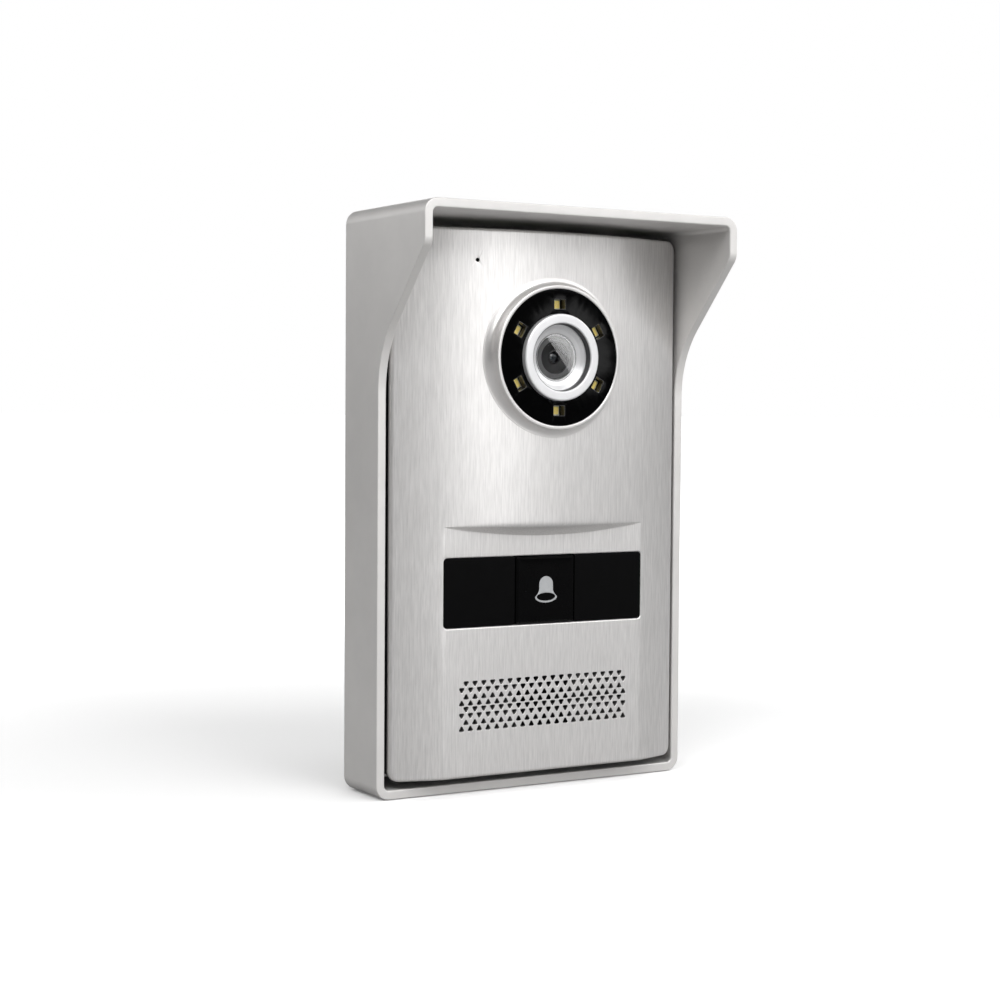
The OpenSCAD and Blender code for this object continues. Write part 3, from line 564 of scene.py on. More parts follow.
hood = {"wall": 2.7, "backPlate": 2.0, "corner": 4.2, "lipDepth": 21.0, "edgeHeight": 12.2,
        "cheekAngle": 42.7, "sweep": 30.0, "bend": 4.0, "outerEdge": 0.3, "innerEdge": 0.45,
        "backEdge": 0.6, "floorFillet": 0.6, "holeEdge": 0.2,
        "slotSpan": (78, 134), "slot": (9, 4.6), "cable": (36, 24), "cableZ": -24.0,
        "screwSpan": (53, 81.4), "screwHole": 1.55,
        "retainingDepth": 11.95, "retainingHole": 1.7, "countersink": 2.9}
hoodLow, hoodHigh = (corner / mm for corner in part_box("rain_hood"))
hoodW, hoodH, visorDepth = hoodHigh.x - hoodLow.x, hoodHigh.z - hoodLow.z, -hoodLow.y


def cheekLine():
    # Depth of the hood's front edge as a function of height, with the heights where it turns
    lip, angle = hood["lipDepth"], math.radians(hood["cheekAngle"])
    kneeZ = hoodH / 2 - hood["edgeHeight"]
    footZ = kneeZ - (visorDepth - lip) / math.tan(angle)
    sweepReach, bendReach = (hood[k] * math.tan(angle / 2) for k in ("sweep", "bend"))
    sweepZ, bendZ = footZ - sweepReach, kneeZ + bendReach

    def depth(x, z):
        if z <= sweepZ:
            return lip
        if z < footZ + sweepReach * math.cos(angle):
            return lip + hood["sweep"] - math.sqrt(hood["sweep"] ** 2 - (z - sweepZ) ** 2)
        if z < kneeZ - bendReach * math.cos(angle):
            return lip + (z - footZ) * math.tan(angle)
        if z < bendZ:
            return visorDepth - hood["bend"] + math.sqrt(hood["bend"] ** 2 - (bendZ - z) ** 2)
        return visorDepth
    turns = [sweepZ + hood["sweep"] * math.sin(angle * i / 20) for i in range(21)]
    turns += [bendZ - hood["bend"] * math.sin(angle * i / 8) for i in range(9)]
    return depth, turns


def quarter(radius, steps=4):
    # (in, down) pairs of a quarter round, from the face to the side
    return [(radius * (1 - math.sin(math.pi / 2 * i / steps)),
             radius * (1 - math.cos(math.pi / 2 * i / steps))) for i in range(steps + 1)]


def hollowQuarter(radius, steps=4):
    # The same for an inner corner, from the wall down to the floor
    return [(radius * math.cos(math.pi / 2 * i / steps), radius * math.sin(math.pi / 2 * i / steps))
            for i in range(steps + 1)]


def makeHood():
    edgeDepth, turns = cheekLine()
    wall, back = hood["wall"], hood["backPlate"]

    def loop(inset):
        return roundedLoop(hoodW, hoodH, hood["corner"], inset=inset, rises=turns)

    def below(drop):
        return lambda x, z: edgeDepth(x, z) - drop
    stack = [(loop(i), d) for i, d in quarter(hood["backEdge"])]
    stack += [(loop(i), below(d)) for i, d in reversed(quarter(hood["outerEdge"]))]
    stack += [(loop(wall - i), below(d)) for i, d in quarter(hood["innerEdge"])]
    fillet = hood["floorFillet"]
    stack += [(loop(wall + fillet - i), back + fillet - d) for i, d in hollowQuarter(fillet)]
    shell = Shell()
    backRing, floorRing = shell.rings(stack)
    holes = [lambda t, x=x, z=z: roundedLoop(*hood["slot"], hood["slot"][1] / 2, (x, z), -t)
             for x in halves(hood["slotSpan"][0]) for z in halves(hood["slotSpan"][1])]
    holes += [lambda t, x=x, z=z: circleLoop(hood["screwHole"], (x, z), -t, steps=32)
              for x in halves(hood["screwSpan"][0]) for z in halves(hood["screwSpan"][1])]
    holes.append(lambda t: roundedLoop(*hood["cable"], 3, (0, hood["cableZ"]), -t))
    ends = [throughHole(shell, hole, 0, back, hood["holeEdge"]) for hole in holes]
    shell.fill(backRing, [e[0] for e in ends])
    shell.fill(floorRing, [e[1] for e in ends])
    piece = shell.build("rainHood")
    cone = latheShell([(0, -1), (hood["countersink"] + 1, -1), (hood["retainingHole"], 1.7),
                       (hood["retainingHole"], wall + 1), (0, wall + 1)], steps=48, closed=False)
    cutter = cone.build("retainingCut")
    cutter.data.transform(Matrix.Translation((0, -hood["retainingDepth"] * mm, -hoodH / 2 * mm))
                          @ Matrix.Rotation(math.radians(-90), 4, "X"))
    cutBy(piece, cutter)
    return evenShading(sharpened(piece))


def halves(span):
    return (-span / 2, span / 2)


def throughHole(shell, hole, back, front, edge):
    # Walls of a hole with a small bevel at both ends; hole(t) is its outline grown by t
    return shell.rings([(hole(edge), back), (hole(0), back + edge),
                        (hole(0), front - edge), (hole(edge), front)])


dress(makeHood(), hoodSilver, "door_station", "hood_silver", "rain_hood")
print("hood done")


# ---- Front panel ----

panel = {"edgeDepth": 21.6, "crown": 9.3, "wall": 1.8, "back": 20.1, "rim": 2.4, "corner": 3.0,
         "flatCut": 4.4, "flatTop": 73.2, "facet": 3.0, "edge": 0.95,
         "blendDepth": 0.05, "softTop": 0.6, "softReach": 2.4, "bezelHole": 21.15,
         "strip": (68.8, 20.3), "stripCorner": 1.1, "stripUp": 54.05,
         "stripEdge": 0.45, "micHole": 0.6, "micX": -25.1, "micDrop": 9.2, "micEdge": 0.06,
         "columnStep": 2.5, "rowStep": 8.0, "cameraDrop": 36.75,
         "sideRows": (-76, -68, -60, -52, -44, -36, -28, -20, -14, -10), "margin": 0.3}
panelLow, panelHigh = (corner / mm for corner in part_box("front_panel"))
panelW, panelH = panelHigh.x - panelLow.x, panelHigh.z - panelLow.z
panelMid = (panelHigh.z + panelLow.z) / 2
crownDepth = panel["edgeDepth"] + panel["crown"]
crownR = ((panelW / 2) ** 2 + panel["crown"] ** 2) / (2 * panel["crown"])
flatDepth = crownDepth - panel["flatCut"]
flatZ = panelLow.z + panel["flatTop"]
cameraZ = panelHigh.z - panel["cameraDrop"]
stripZ = panelLow.z + panel["stripUp"]
flatHalf = math.sqrt(crownR ** 2 - (crownR - panel["flatCut"]) ** 2)


def sag(x):
    return crownR - math.sqrt(crownR ** 2 - x ** 2)


def softMax(a, b, width):
    return (a + b + math.sqrt((a - b) ** 2 + width ** 2)) / 2


def panelFront(x, z):
    # The crown, with the flat field and its slanting facet cut into the lower part
    crown = crownDepth - sag(x)
    facet = crown - (flatZ - z) * panel["flatCut"] / panel["facet"]
    crisp = panel["blendDepth"]
    near = max(1 - abs(z - flatZ) / panel["softReach"], 0)
    soft = crisp + panel["softTop"] * near * max(1 - (x / flatHalf) ** 2, 0)
    return -softMax(-crown, -softMax(flatDepth, facet, crisp), soft)


def panelHollow(x, z):
    return panelFront(x, z) - panel["wall"]


def panelStops():
    # Columns over the crown, and rows close together where the surface turns
    spread = (-1.8, -1.2, -0.8, -0.5, -0.25, -0.1, 0, 0.1, 0.25, 0.5, 0.8, 1.2, 1.8)
    across = int(panelW / 2 / panel["columnStep"])
    columns = [i * panel["columnStep"] for i in range(-across, across + 1)]
    sides = [s * (flatHalf + t) for s in (-1, 1) for t in spread]
    stops = []
    for x in columns + sides:
        top = panelHigh.z - 4
        while top > flatZ + 2:
            stops.append((x, top))
            top -= panel["rowStep"]
        if abs(x) > flatHalf - 1.3:
            stops += [(x, z) for z in (*panel["sideRows"], flatZ - 1)]
        turn = flatZ - max(panel["flatCut"] - sag(x), 0) * panel["facet"] / panel["flatCut"]
        stops += [(x, flatZ + t) for t in spread if t > 0 or flatZ + t > turn + 0.1]
        stops += [(x, turn + t) for t in spread]
        stops.append((x, (flatZ + turn) / 2))
    return stops


def makePanel():
    shell = Shell()
    wide = [-flatHalf, flatHalf] + [panel["columnStep"] * i for i in range(-19, 20)]
    tall = [panelLow.z + 4 * i for i in range(1, 40)] + [flatZ + t for t in (-3, -2, -1, -0.5, 0, 0.5, 1)]

    def outer(inset):
        return roundedLoop(panelW, panelH, panel["corner"], (0, panelMid), inset, tall, wide)

    def front(drop=0.0):
        return lambda x, z: panelFront(x, z) - drop
    stack = [(outer(i), front(d)) for i, d in quarter(panel["edge"], 6)]
    stack += [(outer(0), panel["back"] + 0.2), (outer(0.2), panel["back"]),
              (outer(panel["rim"]), panel["back"]), (outer(panel["rim"]), panelHollow)]
    frontRing, backRing = shell.rings(stack)

    def hole(loop, edge, steps=4):
        stack = [(loop(-i), front(d)) for i, d in quarter(edge, steps)] + [(loop(0), panelHollow)]
        return shell.rings(stack)
    micSpot = (panel["micX"], panelHigh.z - panel["micDrop"])
    holes = [hole(lambda t: circleLoop(panel["bezelHole"], (0, cameraZ), t, 128), 0.1, 1),
             hole(lambda t: roundedLoop(*panel["strip"], panel["stripCorner"], (0, stripZ), t,
                                        runs=wide), panel["stripEdge"]),
             hole(lambda t: circleLoop(panel["micHole"], micSpot, t, 32), panel["micEdge"], 2)]
    bound = outer(panel["edge"] + panel["margin"])
    stops = [p for p in panelStops() if isInside(p, bound)]
    shell.fill(frontRing, [h[0] for h in holes], panelFront, stops)
    bound = outer(panel["rim"] + panel["margin"])
    stops = [p for p in panelStops() if isInside(p, bound)]
    shell.fill(backRing, [h[1] for h in holes], panelHollow, stops)
    return shell.build("frontPanel")


grille = {"columns": 20, "rows": 8, "pitch": 2.98, "rowHeight": 1.86, "hole": 1.28, "up": 21.0,
          "round": 0.34, "edge": 0.05, "nudge": 0.17, "port": 9.4}


def triangleLoop(radius, grow):
    # A triangle that points up, with round corners
    reach = radius + 2 * grow
    halfSide = math.sqrt(3) / 2 * reach
    tips = [(0, reach), (-halfSide, -reach / 2), (halfSide, -reach / 2)]
    return softProfile([(x, z, grille["round"]) for x, z in tips], steps=3)


def makeGrilleCut(finish):
    shell = Shell()
    hole, edge = grille["hole"], grille["edge"]
    first, last = shell.rings([(triangleLoop(hole, 0), flatDepth - panel["wall"] - 1),
                               (triangleLoop(hole, 0), flatDepth - edge),
                               (triangleLoop(hole, 3 * edge), flatDepth + 2 * edge)])
    shell.cap(first)
    shell.cap(last)
    prism = shell.build("triangleCut")
    centre = (0, 0, (panelLow.z + grille["up"]) * mm)
    return repeated("grilleCut", rowTree(), prism, centre, finish, **{
        "Columns": grille["columns"], "Rows": grille["rows"], "Pitch": grille["pitch"] * mm,
        "Row Height": grille["rowHeight"] * mm, "Nudge": grille["nudge"] * mm})


panelPiece = makePanel()
cutBy(panelPiece, makeGrilleCut(brushedAluminium))
evenShading(sharpened(panelPiece, 25))
dress(panelPiece, brushedAluminium, "door_station", "brushed_aluminium", "front_panel")
# The grille's punched walls are painted shade: near black before the speaker's port, a lighter grey beside it
panelPiece.data.materials.append(holeShade)
panelPiece.data.materials.append(holeShadeGrey)
middle = panelLow.z + grille["up"]
reachX, reachZ = grille["columns"] * grille["pitch"] / 2, grille["rows"] * grille["rowHeight"] / 2 + 1
for face in panelPiece.data.polygons:             # punched walls, darkest before the speaker's port
    spot = face.center / mm
    if (abs(spot.x) < reachX and abs(spot.z - middle) < reachZ and abs(face.normal.y) < 0.3
            and flatDepth - panel["wall"] - 0.1 < -spot.y < flatDepth):
        face.material_index = 1 if abs(spot.x) < grille["port"] else 2


micSleeve = {"inner": 0.42, "mouth": 0.5, "outer": 0.59, "sunk": 0.25, "long": 2.2, "round": 0.02}


def makeMicShadeSleeve():
    # Black tube that lines the microphone's hole: painted shade that keeps the hole dark
    front = crownDepth - sag(panel["micX"]) - micSleeve["sunk"]
    back, soft = front - micSleeve["long"], micSleeve["round"]
    profile = softProfile([(micSleeve["inner"], back, soft), (micSleeve["outer"], back, soft),
                           (micSleeve["outer"], front, soft),
                           (micSleeve["mouth"], front, 1.5 * soft)], steps=2)
    spot = (panel["micX"], panelHigh.z - panel["micDrop"])
    return sharpened(latheShell(profile, spot, 32).build("micSleeve"))


dress(makeMicShadeSleeve(), holeShade, "door_station", "black_rubber")
print("panel done")


# ---- Camera: bezel, lamps, ring and lens ----

bezel = {"inner": 20.0, "rim": 21.1, "foot": 23.4, "proud": 2.6, "rimDrop": 0.75, "rimRound": 0.3,
         "shelf": 18.6, "shelfBack": 29.9, "shelfFront": 31.8, "barrel": 21.0, "back": 25.4,
         "footLip": 0.12, "hollow": 1.9, "play": 0.02}


def makeBezel():
    # A spun collar whose flared foot follows the crown it stands on
    rimDepth = crownDepth + bezel["proud"]
    steps, bend = 160, 14
    shell = Shell()
    rim = softProfile([(bezel["inner"], rimDepth - 1.2, 0), (bezel["inner"], rimDepth, bezel["rimRound"]),
                       (bezel["rim"], rimDepth, bezel["rimRound"]),
                       (bezel["rim"], rimDepth - bezel["rimDrop"], 0)], closed=False, steps=5)
    inside = [(bezel["barrel"], bezel["back"]), (bezel["inner"], bezel["back"]),
              (bezel["inner"], bezel["shelfBack"]), (bezel["shelf"], bezel["shelfBack"]),
              (bezel["shelf"], bezel["shelfFront"]), (bezel["inner"], bezel["shelfFront"])]
    flareTop = rimDepth - bezel["rimDrop"]
    reach = bezel["foot"] - bezel["rim"]

    def onCrown(x, z):
        return crownDepth - sag(x) + bezel["play"]

    def loop(radius):
        return circleLoop(radius, (0, cameraZ), steps=steps)
    stack = [(loop(r), d) for r, d in inside + rim]
    for k in range(1, bend + 1):
        t = k / bend
        fall = (1 - (1 - t) ** bezel["hollow"]) ** (1 / bezel["hollow"])
        radius = bezel["rim"] + reach * t ** 1.25

        def flare(x, z, fall=fall):
            low = onCrown(x, z) + bezel["footLip"]
            return flareTop - (flareTop - low) * fall
        stack.append((loop(radius), flare))
    foot = loop(bezel["foot"] + bezel["play"])
    shell.closedRings(stack + [(foot, onCrown), (loop(bezel["barrel"]), onCrown)])
    return sharpened(shell.build("cameraBezel"), 38)


dress(evenShading(makeBezel()), satinSilver, "door_station", "satin_silver", "camera_bezel")

lamps = {"count": 6, "circle": 15.5, "window": (4.1, 3.2), "cover": 19.93, "coverFront": 33.4,
         "coverThick": 1.6, "ringGap": 12.8, "chip": (3.5, 2.8, 0.7), "chipFront": 30.6,
         "liner": 0.13, "linerBack": 31.0, "linerPlay": 0.02, "linerSunk": 0.07, "linerBevel": 0.03,
         "pad": (2.8, 2.2, 0.05), "pane": (3.78, 2.88), "paneBack": 32.3, "paneFront": 33.2}
windowSpots = [(lamps["circle"] * math.sin(2 * math.pi * i / lamps["count"]),
                lamps["circle"] * math.cos(2 * math.pi * i / lamps["count"]))
               for i in range(lamps["count"])]


def makeLedCover():
    front, back = lamps["coverFront"], lamps["coverFront"] - lamps["coverThick"]
    centre = (0, cameraZ)
    shell = Shell()
    outer = [(circleLoop(lamps["cover"], centre, i), front - d) for i, d in quarter(0.12, 2)]
    frontRing, backRing = shell.rings(outer + [(circleLoop(lamps["cover"], centre), back)])
    inner = [(circleLoop(lamps["ringGap"], centre, -i), front - d) for i, d in quarter(0.12, 2)]
    holes = [shell.rings(inner + [(circleLoop(lamps["ringGap"], centre), back)])]
    for i, (x, z) in enumerate(windowSpots):
        def window(grow, x=x, z=z, turn=-2 * math.pi * i / lamps["count"]):
            spot = (x, cameraZ + z)
            return [turnedPoint(p, spot, turn) for p in
                    roundedLoop(*lamps["window"], 0.35, spot, -grow, steps=4)]
        edge = [(window(i), front - d) for i, d in quarter(0.08, 2)]
        holes.append(shell.rings(edge + [(window(0), back)]))
    shell.fill(frontRing, [h[0] for h in holes])
    shell.fill(backRing, [h[1] for h in holes])
    return shell.build("ledCover")


dress(evenShading(sharpened(makeLedCover())), glossBlack, "door_station", "gloss_black", "led_cover")
lampTree = ringTree()
lampCentre = (0, 0, cameraZ * mm)


def makeChip():
    # White package with a frame round its phosphor pad
    w, h, t = lamps["chip"]
    shell = softBlock(w, h, lamps["chipFront"] - t, lamps["chipFront"], corner=0.2, edge=0.06)
    return shell.build("ledChip")


def makeChipPad():
    w, h, t = lamps["pad"]
    shell = softBlock(w, h, lamps["chipFront"], lamps["chipFront"] + t, corner=0.3, edge=0.03)
    return shell.build("ledPad")


def ringOf(name, part, finish):
    return repeated(name, lampTree, part, lampCentre, finish,
                    Count=lamps["count"], Radius=lamps["circle"] * mm)


dress(sharpened(ringOf("ledPackages", makeChip(), ledWhite)), ledWhite, "door_station", "phosphor",
      "led_emitters")
dress(sharpened(ringOf("ledPads", makeChipPad(), phosphor)), phosphor, "door_station", "phosphor")


def makeWindowShadingLiner():
    # Thin dark frame that lines a window down to just above its lamp; its grey is painted shading on the
    # window's gloss-black inner wall
    wide, high = (size - lamps["linerPlay"] for size in lamps["window"])
    inset, bevel = lamps["liner"], lamps["linerBevel"]
    back, front = lamps["linerBack"], lamps["coverFront"] - lamps["linerSunk"]

    def loop(shrink):
        return roundedLoop(wide, high, 0.33, (0, 0), shrink, steps=3)
    shell = Shell()
    shell.closedRings([(loop(0), back), (loop(0), front), (loop(inset - bevel), front),
                       (loop(inset), front - bevel), (loop(inset), back)])
    return shell.build("windowLiner")


dress(sharpened(ringOf("windowLiners", makeWindowShadingLiner(), paintedShadingGrey)), paintedShadingGrey, "door_station", "gloss_black")
pane = softBlock(*lamps["pane"], lamps["paneBack"], lamps["paneFront"], corner=0.25,
                 edge=0.08).build("ledPane")
dress(sharpened(ringOf("ledPanes", pane, clearPane)), clearPane, "door_station", "clear_pane", "led_panes")


def lathePiece(name, corners):
    # corners are (radius, depth, rounding) round the camera's axis
    return evenShading(sharpened(latheShell(softProfile(corners), (0, cameraZ), 128).build(name)))


dress(lathePiece("ledBoard", [(12.8, 28.7, 0.1), (19.93, 28.7, 0.1), (19.93, 29.9, 0.1), (12.8, 29.9, 0.1)]),
      boardBlack, "door_station", "board_black", "led_board")
dress(lathePiece("cameraRing", [(9.9, 27.5, 0.1), (19.9, 27.5, 0.1), (19.9, 28.65, 0.1), (12.65, 28.65, 0.2),
                                (12.7, 35.05, 0.55), (9.9, 35.05, 0.4)]),
      ringSilver, "door_station", "ring_silver", "camera_ring")
dress(lathePiece("lensBowl", [(6.4, 28.6, 0.1), (9.86, 28.6, 0.1), (9.86, 32.7, 0.1), (9.35, 32.7, 0.25),
                              (8.2, 31.95, 0.5), (7.0, 31.5, 0.12), (7.0, 30.9, 0.05), (6.4, 30.9, 0.05)]),
      bowlSilver, "door_station", "bowl_silver", "lens_bowl")


def capPiece(name, corners):
    # An open profile from the axis out and back, so the piece is solid in the middle
    profile = softProfile(corners, closed=False, steps=4)
    return evenShading(sharpened(latheShell(profile, (0, cameraZ), closed=False).build(name)))


dress(capPiece("lensWindow", [(0, 30.92, 0), (6.93, 30.92, 0.05), (6.93, 31.6, 0.12), (0, 31.6, 0)]),
      clearGlass, "door_station", "clear_glass", "lens_window")
# A thin dark grey sleeve of painted shade lines the camera ring's silver bore
dress(lathePiece("ringLiner", [(9.62, 32.72, 0.02), (9.88, 32.72, 0.02), (9.88, 34.62, 0.02),
                               (9.72, 34.62, 0.05)]),
      paintedShadingGrey, "door_station", "ring_silver")
# The barrel, a lens-black part, takes the lighter grey as painted light
dress(lathePiece("lensBarrel", [(1.5, 17, 0.1), (5.95, 17, 0.2), (5.95, 27.3, 0.1), (6.22, 27.3, 0.05),
                                (6.22, 30.7, 0.1), (4.8, 30.7, 0.08), (4.72, 30.1, 0.05), (1.5, 29.2, 0.1)]),
      lensPaintedLightGrey, "door_station", "lens_black", "lens_barrel")
dress(capPiece("lensBaffle", [(0, 28.7, 0), (4.7, 29.6, 0.02), (4.7, 30.22, 0.05), (2.05, 29.98, 0.1),
                              (1.85, 30.12, 0.06), (1.6, 30.12, 0.06), (1.38, 29.6, 0.05),
                              (1.36, 28.85, 0.02), (0, 28.85, 0)]),
      lensBlack, "door_station", "lens_black")
dress(capPiece("lensElement", [(0, 28.85, 0), (1.3, 28.85, 0.02), (1.3, 29.55, 0.1), (0.9, 29.72, 0.4),
                               (0, 29.8, 0)]),
      coatedGlass, "door_station", "coated_glass", "lens_element")
print("camera done")


# ---- Button strip ----

strip = {"plateFront": 26.4, "plateBack": 24.3, "gap": 0.1, "button": (20.2, 19.7), "buttonFront": 27.0,
         "chamfer": 0.6, "icon": 0.25, "mouth": (7.7, 3.55, -2.15), "dome": (2.4, 1.55),
         "mouthHole": (6.4, 2.4), "shoulder": 0.3, "iconEdge": 0.05, "seatPlay": 0.03, "keyGap": 0.3,
         "flange": (20.1, 21.6), "flangeOver": 2.8, "postEnd": 18.7, "post": 2.0}


def makePlate(side):
    width, height = panel["strip"]
    inner = strip["button"][0] / 2 + strip["keyGap"]
    outer = width / 2 - strip["gap"]
    shell = softBlock(outer - inner, height - 2 * strip["gap"], strip["plateBack"], strip["plateFront"],
                      (side * (inner + outer) / 2, stripZ), corner=0.8, edge=0.18)
    return shell.build("leftPlate" if side < 0 else "rightPlate")


for side, node in ((-1, "left_plate"), (1, "right_plate")):
    dress(evenShading(makePlate(side)), glossBlack, "door_station", "gloss_black", node)


def bellLoop(grow=0.0, steps=12):
    domeR, domeZ = strip["dome"]
    width, height, mouthZ = strip["mouth"]
    shoulder, side = strip["shoulder"], []
    for i in range(steps + 1):                       # from the flare down to the mouth's widest point
        t = i / steps
        side.append((domeR + (width / 2 - domeR) * t ** 2, shoulder + (mouthZ - shoulder) * t))
    loop = arcPoints((0, domeZ), domeR + grow, 0, 180, 2 * steps)
    loop += [(-x - grow, z) for x, z in side]
    loop += [((width / 2 + grow) * math.cos(math.pi + math.pi * i / (2 * steps)),
              mouthZ + (height / 2 + grow) * math.sin(math.pi + math.pi * i / (2 * steps)))
             for i in range(1, 2 * steps)]
    loop += [(x + grow, z) for x, z in reversed(side)]
    return [(x, z + stripZ) for x, z in loop]


def mouthLoop(grow=0.0, steps=40):
    width, height = strip["mouthHole"]
    return [((width / 2 - grow) * math.cos(2 * math.pi * i / steps),
             stripZ + strip["mouth"][2] + (height / 2 - grow) * math.sin(2 * math.pi * i / steps))
            for i in range(steps)]


def makeBell():
    front, edge = strip["buttonFront"], strip["iconEdge"]
    back = front - strip["icon"]
    shell = Shell()
    outer = shell.rings([(bellLoop(), back), (bellLoop(), front - edge), (bellLoop(-edge), front)])
    hole = shell.rings([(mouthLoop(), back), (mouthLoop(), front - edge), (mouthLoop(-edge), front)])
    shell.fill(outer[0], [hole[0]])
    shell.fill(outer[1], [hole[1]])
    return shell.build("bellIcon")


def makeButton():
    # The key with its flange behind, a post for the switch and a seat for the bell
    front, width, height = strip["buttonFront"], *strip["button"]
    (low, high), over, play = strip["flange"], strip["flangeOver"], strip["seatPlay"]

    def loop(inset):
        return roundedLoop(width, height, 0.6, (0, stripZ), inset, steps=5)

    def flange(inset):
        return roundedLoop(width + over, height + over, 1.0, (0, stripZ), inset, steps=5)
    shell = Shell()
    chamfer = strip["chamfer"]
    first, last = shell.rings([
        (flange(0.1), low), (flange(0), low + 0.1), (flange(0), high), (loop(0), high),
        (loop(0), front - chamfer - 0.08), (loop(0.04), front - chamfer + 0.02),
        (loop(chamfer - 0.06), front - 0.07), (loop(chamfer + 0.1), front)])
    bottom = front - strip["icon"] - play
    seat = shell.rings([(bellLoop(play), bottom), (bellLoop(play), front)])
    island = shell.rings([(mouthLoop(play), bottom), (mouthLoop(play), front)])
    shell.fill(last, [seat[1]])
    shell.fill(seat[0], [island[0]])
    shell.cap(island[1])
    post = circleLoop(strip["post"], (0, stripZ), steps=32)
    foot = shell.rings([(post, low), (post, strip["postEnd"])])
    shell.fill(first, [foot[0]])
    shell.cap(foot[1])
    return shell.build("callButton")


dress(evenShading(makeButton()), buttonGloss, "call_button", "gloss_black", "call_button")
dress(evenShading(makeBell()), iconSilver, "call_button", "icon_silver", "bell_icon")
print("strip done")


# ---- Fasteners and cable seal ----

screws = {"pitch": 0.5, "thread": 0.14, "slotLong": 0.62, "slotWide": 0.17, "slotDeep": 0.72}
bracketScrew = {"head": 2.6, "headHigh": 1.1, "shank": 1.5, "seat": 3.2, "end": 0.2, "side": 1}
housingScrew = {"head": 2.8, "headHigh": 1.8, "shank": 1.5, "seat": 6.6, "end": 19.95, "side": -1}
boardScrew = {"head": 2.1, "headHigh": 1.3, "shank": 1.0, "seat": 14.0, "end": 7.9, "side": 1}
boardInset = 4.0                                     # from a board's edge to its screws


def threadedShank(radius, start, end, tip=0.5):
    # Points of a thread's outline from its tip up to the head
    step = screws["pitch"] if end > start else -screws["pitch"]
    points = [(radius - 0.35, start), (radius - screws["thread"], start + step * tip)]
    count = int(abs(end - start) / screws["pitch"]) - 2
    for i in range(1, count):
        points.append((radius, start + step * (i + 0.5)))
        points.append((radius - screws["thread"], start + step * (i + 1)))
    return points + [(radius, end)]


def crossCut(head, top, deep, side):
    # Tapering cross that is cut into a screw's head
    def loop(size):
        long, wide = head * screws["slotLong"] * size, head * screws["slotWide"] * size
        return [(wide, wide), (wide, long), (-wide, long), (-wide, wide), (-long, wide), (-long, -wide),
                (-wide, -wide), (-wide, -long), (wide, -long), (wide, -wide), (long, -wide), (long, wide)]
    shell = Shell()
    first, last = shell.rings([(loop(1.15), top + side * 0.3), (loop(0.55), top - side * deep)])
    shell.cap(first)
    shell.cap(last)
    return shell.build("crossCut")


def makeScrew(head, headHigh, shank, seat, end, side):
    # Pan head screw on its own axis; side is 1 when the head looks to the front
    top = seat + side * headHigh
    dome = softProfile([(head, seat, 0), (head, seat + side * headHigh * 0.45, 0.1),
                        (head * 0.82, top - side * 0.08, 0.5), (0, top, 0)], closed=False, steps=5)
    shell = latheShell([(0, end)] + threadedShank(shank, end, seat) + dome, (0, 0), 32, closed=False)
    screw = shell.build("screw")
    cutBy(screw, crossCut(head, top, headHigh * screws["slotDeep"], side))
    return sharpened(screw)


def screwGrid(name, centreZ, columns, rows, wide, high, screw, *nodes):
    piece = repeated(name, screwTree, screw, (0, 0, centreZ * mm), screwSteel, Columns=columns, Rows=rows,
                     Width=wide * mm, Height=high * mm)
    dress(sharpened(piece), screwSteel, "door_station", "screw_steel", *nodes)


def span(node, inset):
    # A node's width and height less an inset on all sides, and the height of its middle
    low, high = (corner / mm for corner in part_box(node))
    return high.x - low.x - 2 * inset, high.z - low.z - 2 * inset, (high.z + low.z) / 2


screwTree = gridTree()
for name, node, rows, kind in (("bracketScrews", "bracket_screws", 2, bracketScrew),
                               ("housingScrews", "housing_screws", 3, housingScrew)):
    wide, high, mid = span(node, kind["head"])
    screwGrid(name, mid, 2, rows, wide, high, makeScrew(**kind), node)
for name, node, stoodFor in (("mainBoardScrews", "main_board", ["board_screws"]),
                             ("cameraBoardScrews", "camera_board", [])):
    wide, high, mid = span(node, boardInset)
    screwGrid(name, mid, 2, 2, wide, high, makeScrew(**boardScrew), *stoodFor)

retaining = {"head": 2.75, "rim": 0.1, "neck": 1.45, "shank": 1.5, "collar": 2.2, "slotDeep": 1.3}


def makeRetainingScrew():
    # Countersunk, driven up through the hood's floor
    low, high = (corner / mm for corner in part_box("retaining_screw"))
    length = high.z - low.z
    head, rim, radius = retaining["head"], retaining["rim"], retaining["shank"]
    profile = [(0, rim)] + softProfile([(0, rim, 0), (head, rim, 0.12), (radius, retaining["neck"], 0.1),
                                        (radius, retaining["collar"], 0)], closed=False, steps=3)
    shank = threadedShank(radius, length, retaining["collar"] + 0.1)
    shell = latheShell(profile + shank[::-1] + [(0, length)], (0, 0), 48, closed=False)
    screw = shell.build("retainingScrew")
    cutBy(screw, crossCut(head, rim, retaining["slotDeep"], -1))
    screw.data.transform(Matrix.Translation((0, -hood["retainingDepth"] * mm,
                                             hoodLow.z * mm)) @ Matrix.Rotation(math.radians(-90), 4, "X"))
    return sharpened(screw)


dress(makeRetainingScrew(), screwSteel, "door_station", "screw_steel", "retaining_screw")

grommet = {"fit": 0.1, "lip": 2.0, "edge": 3.0, "back": 0.2, "step": 2.1, "front": 3.03, "round": 0.3}


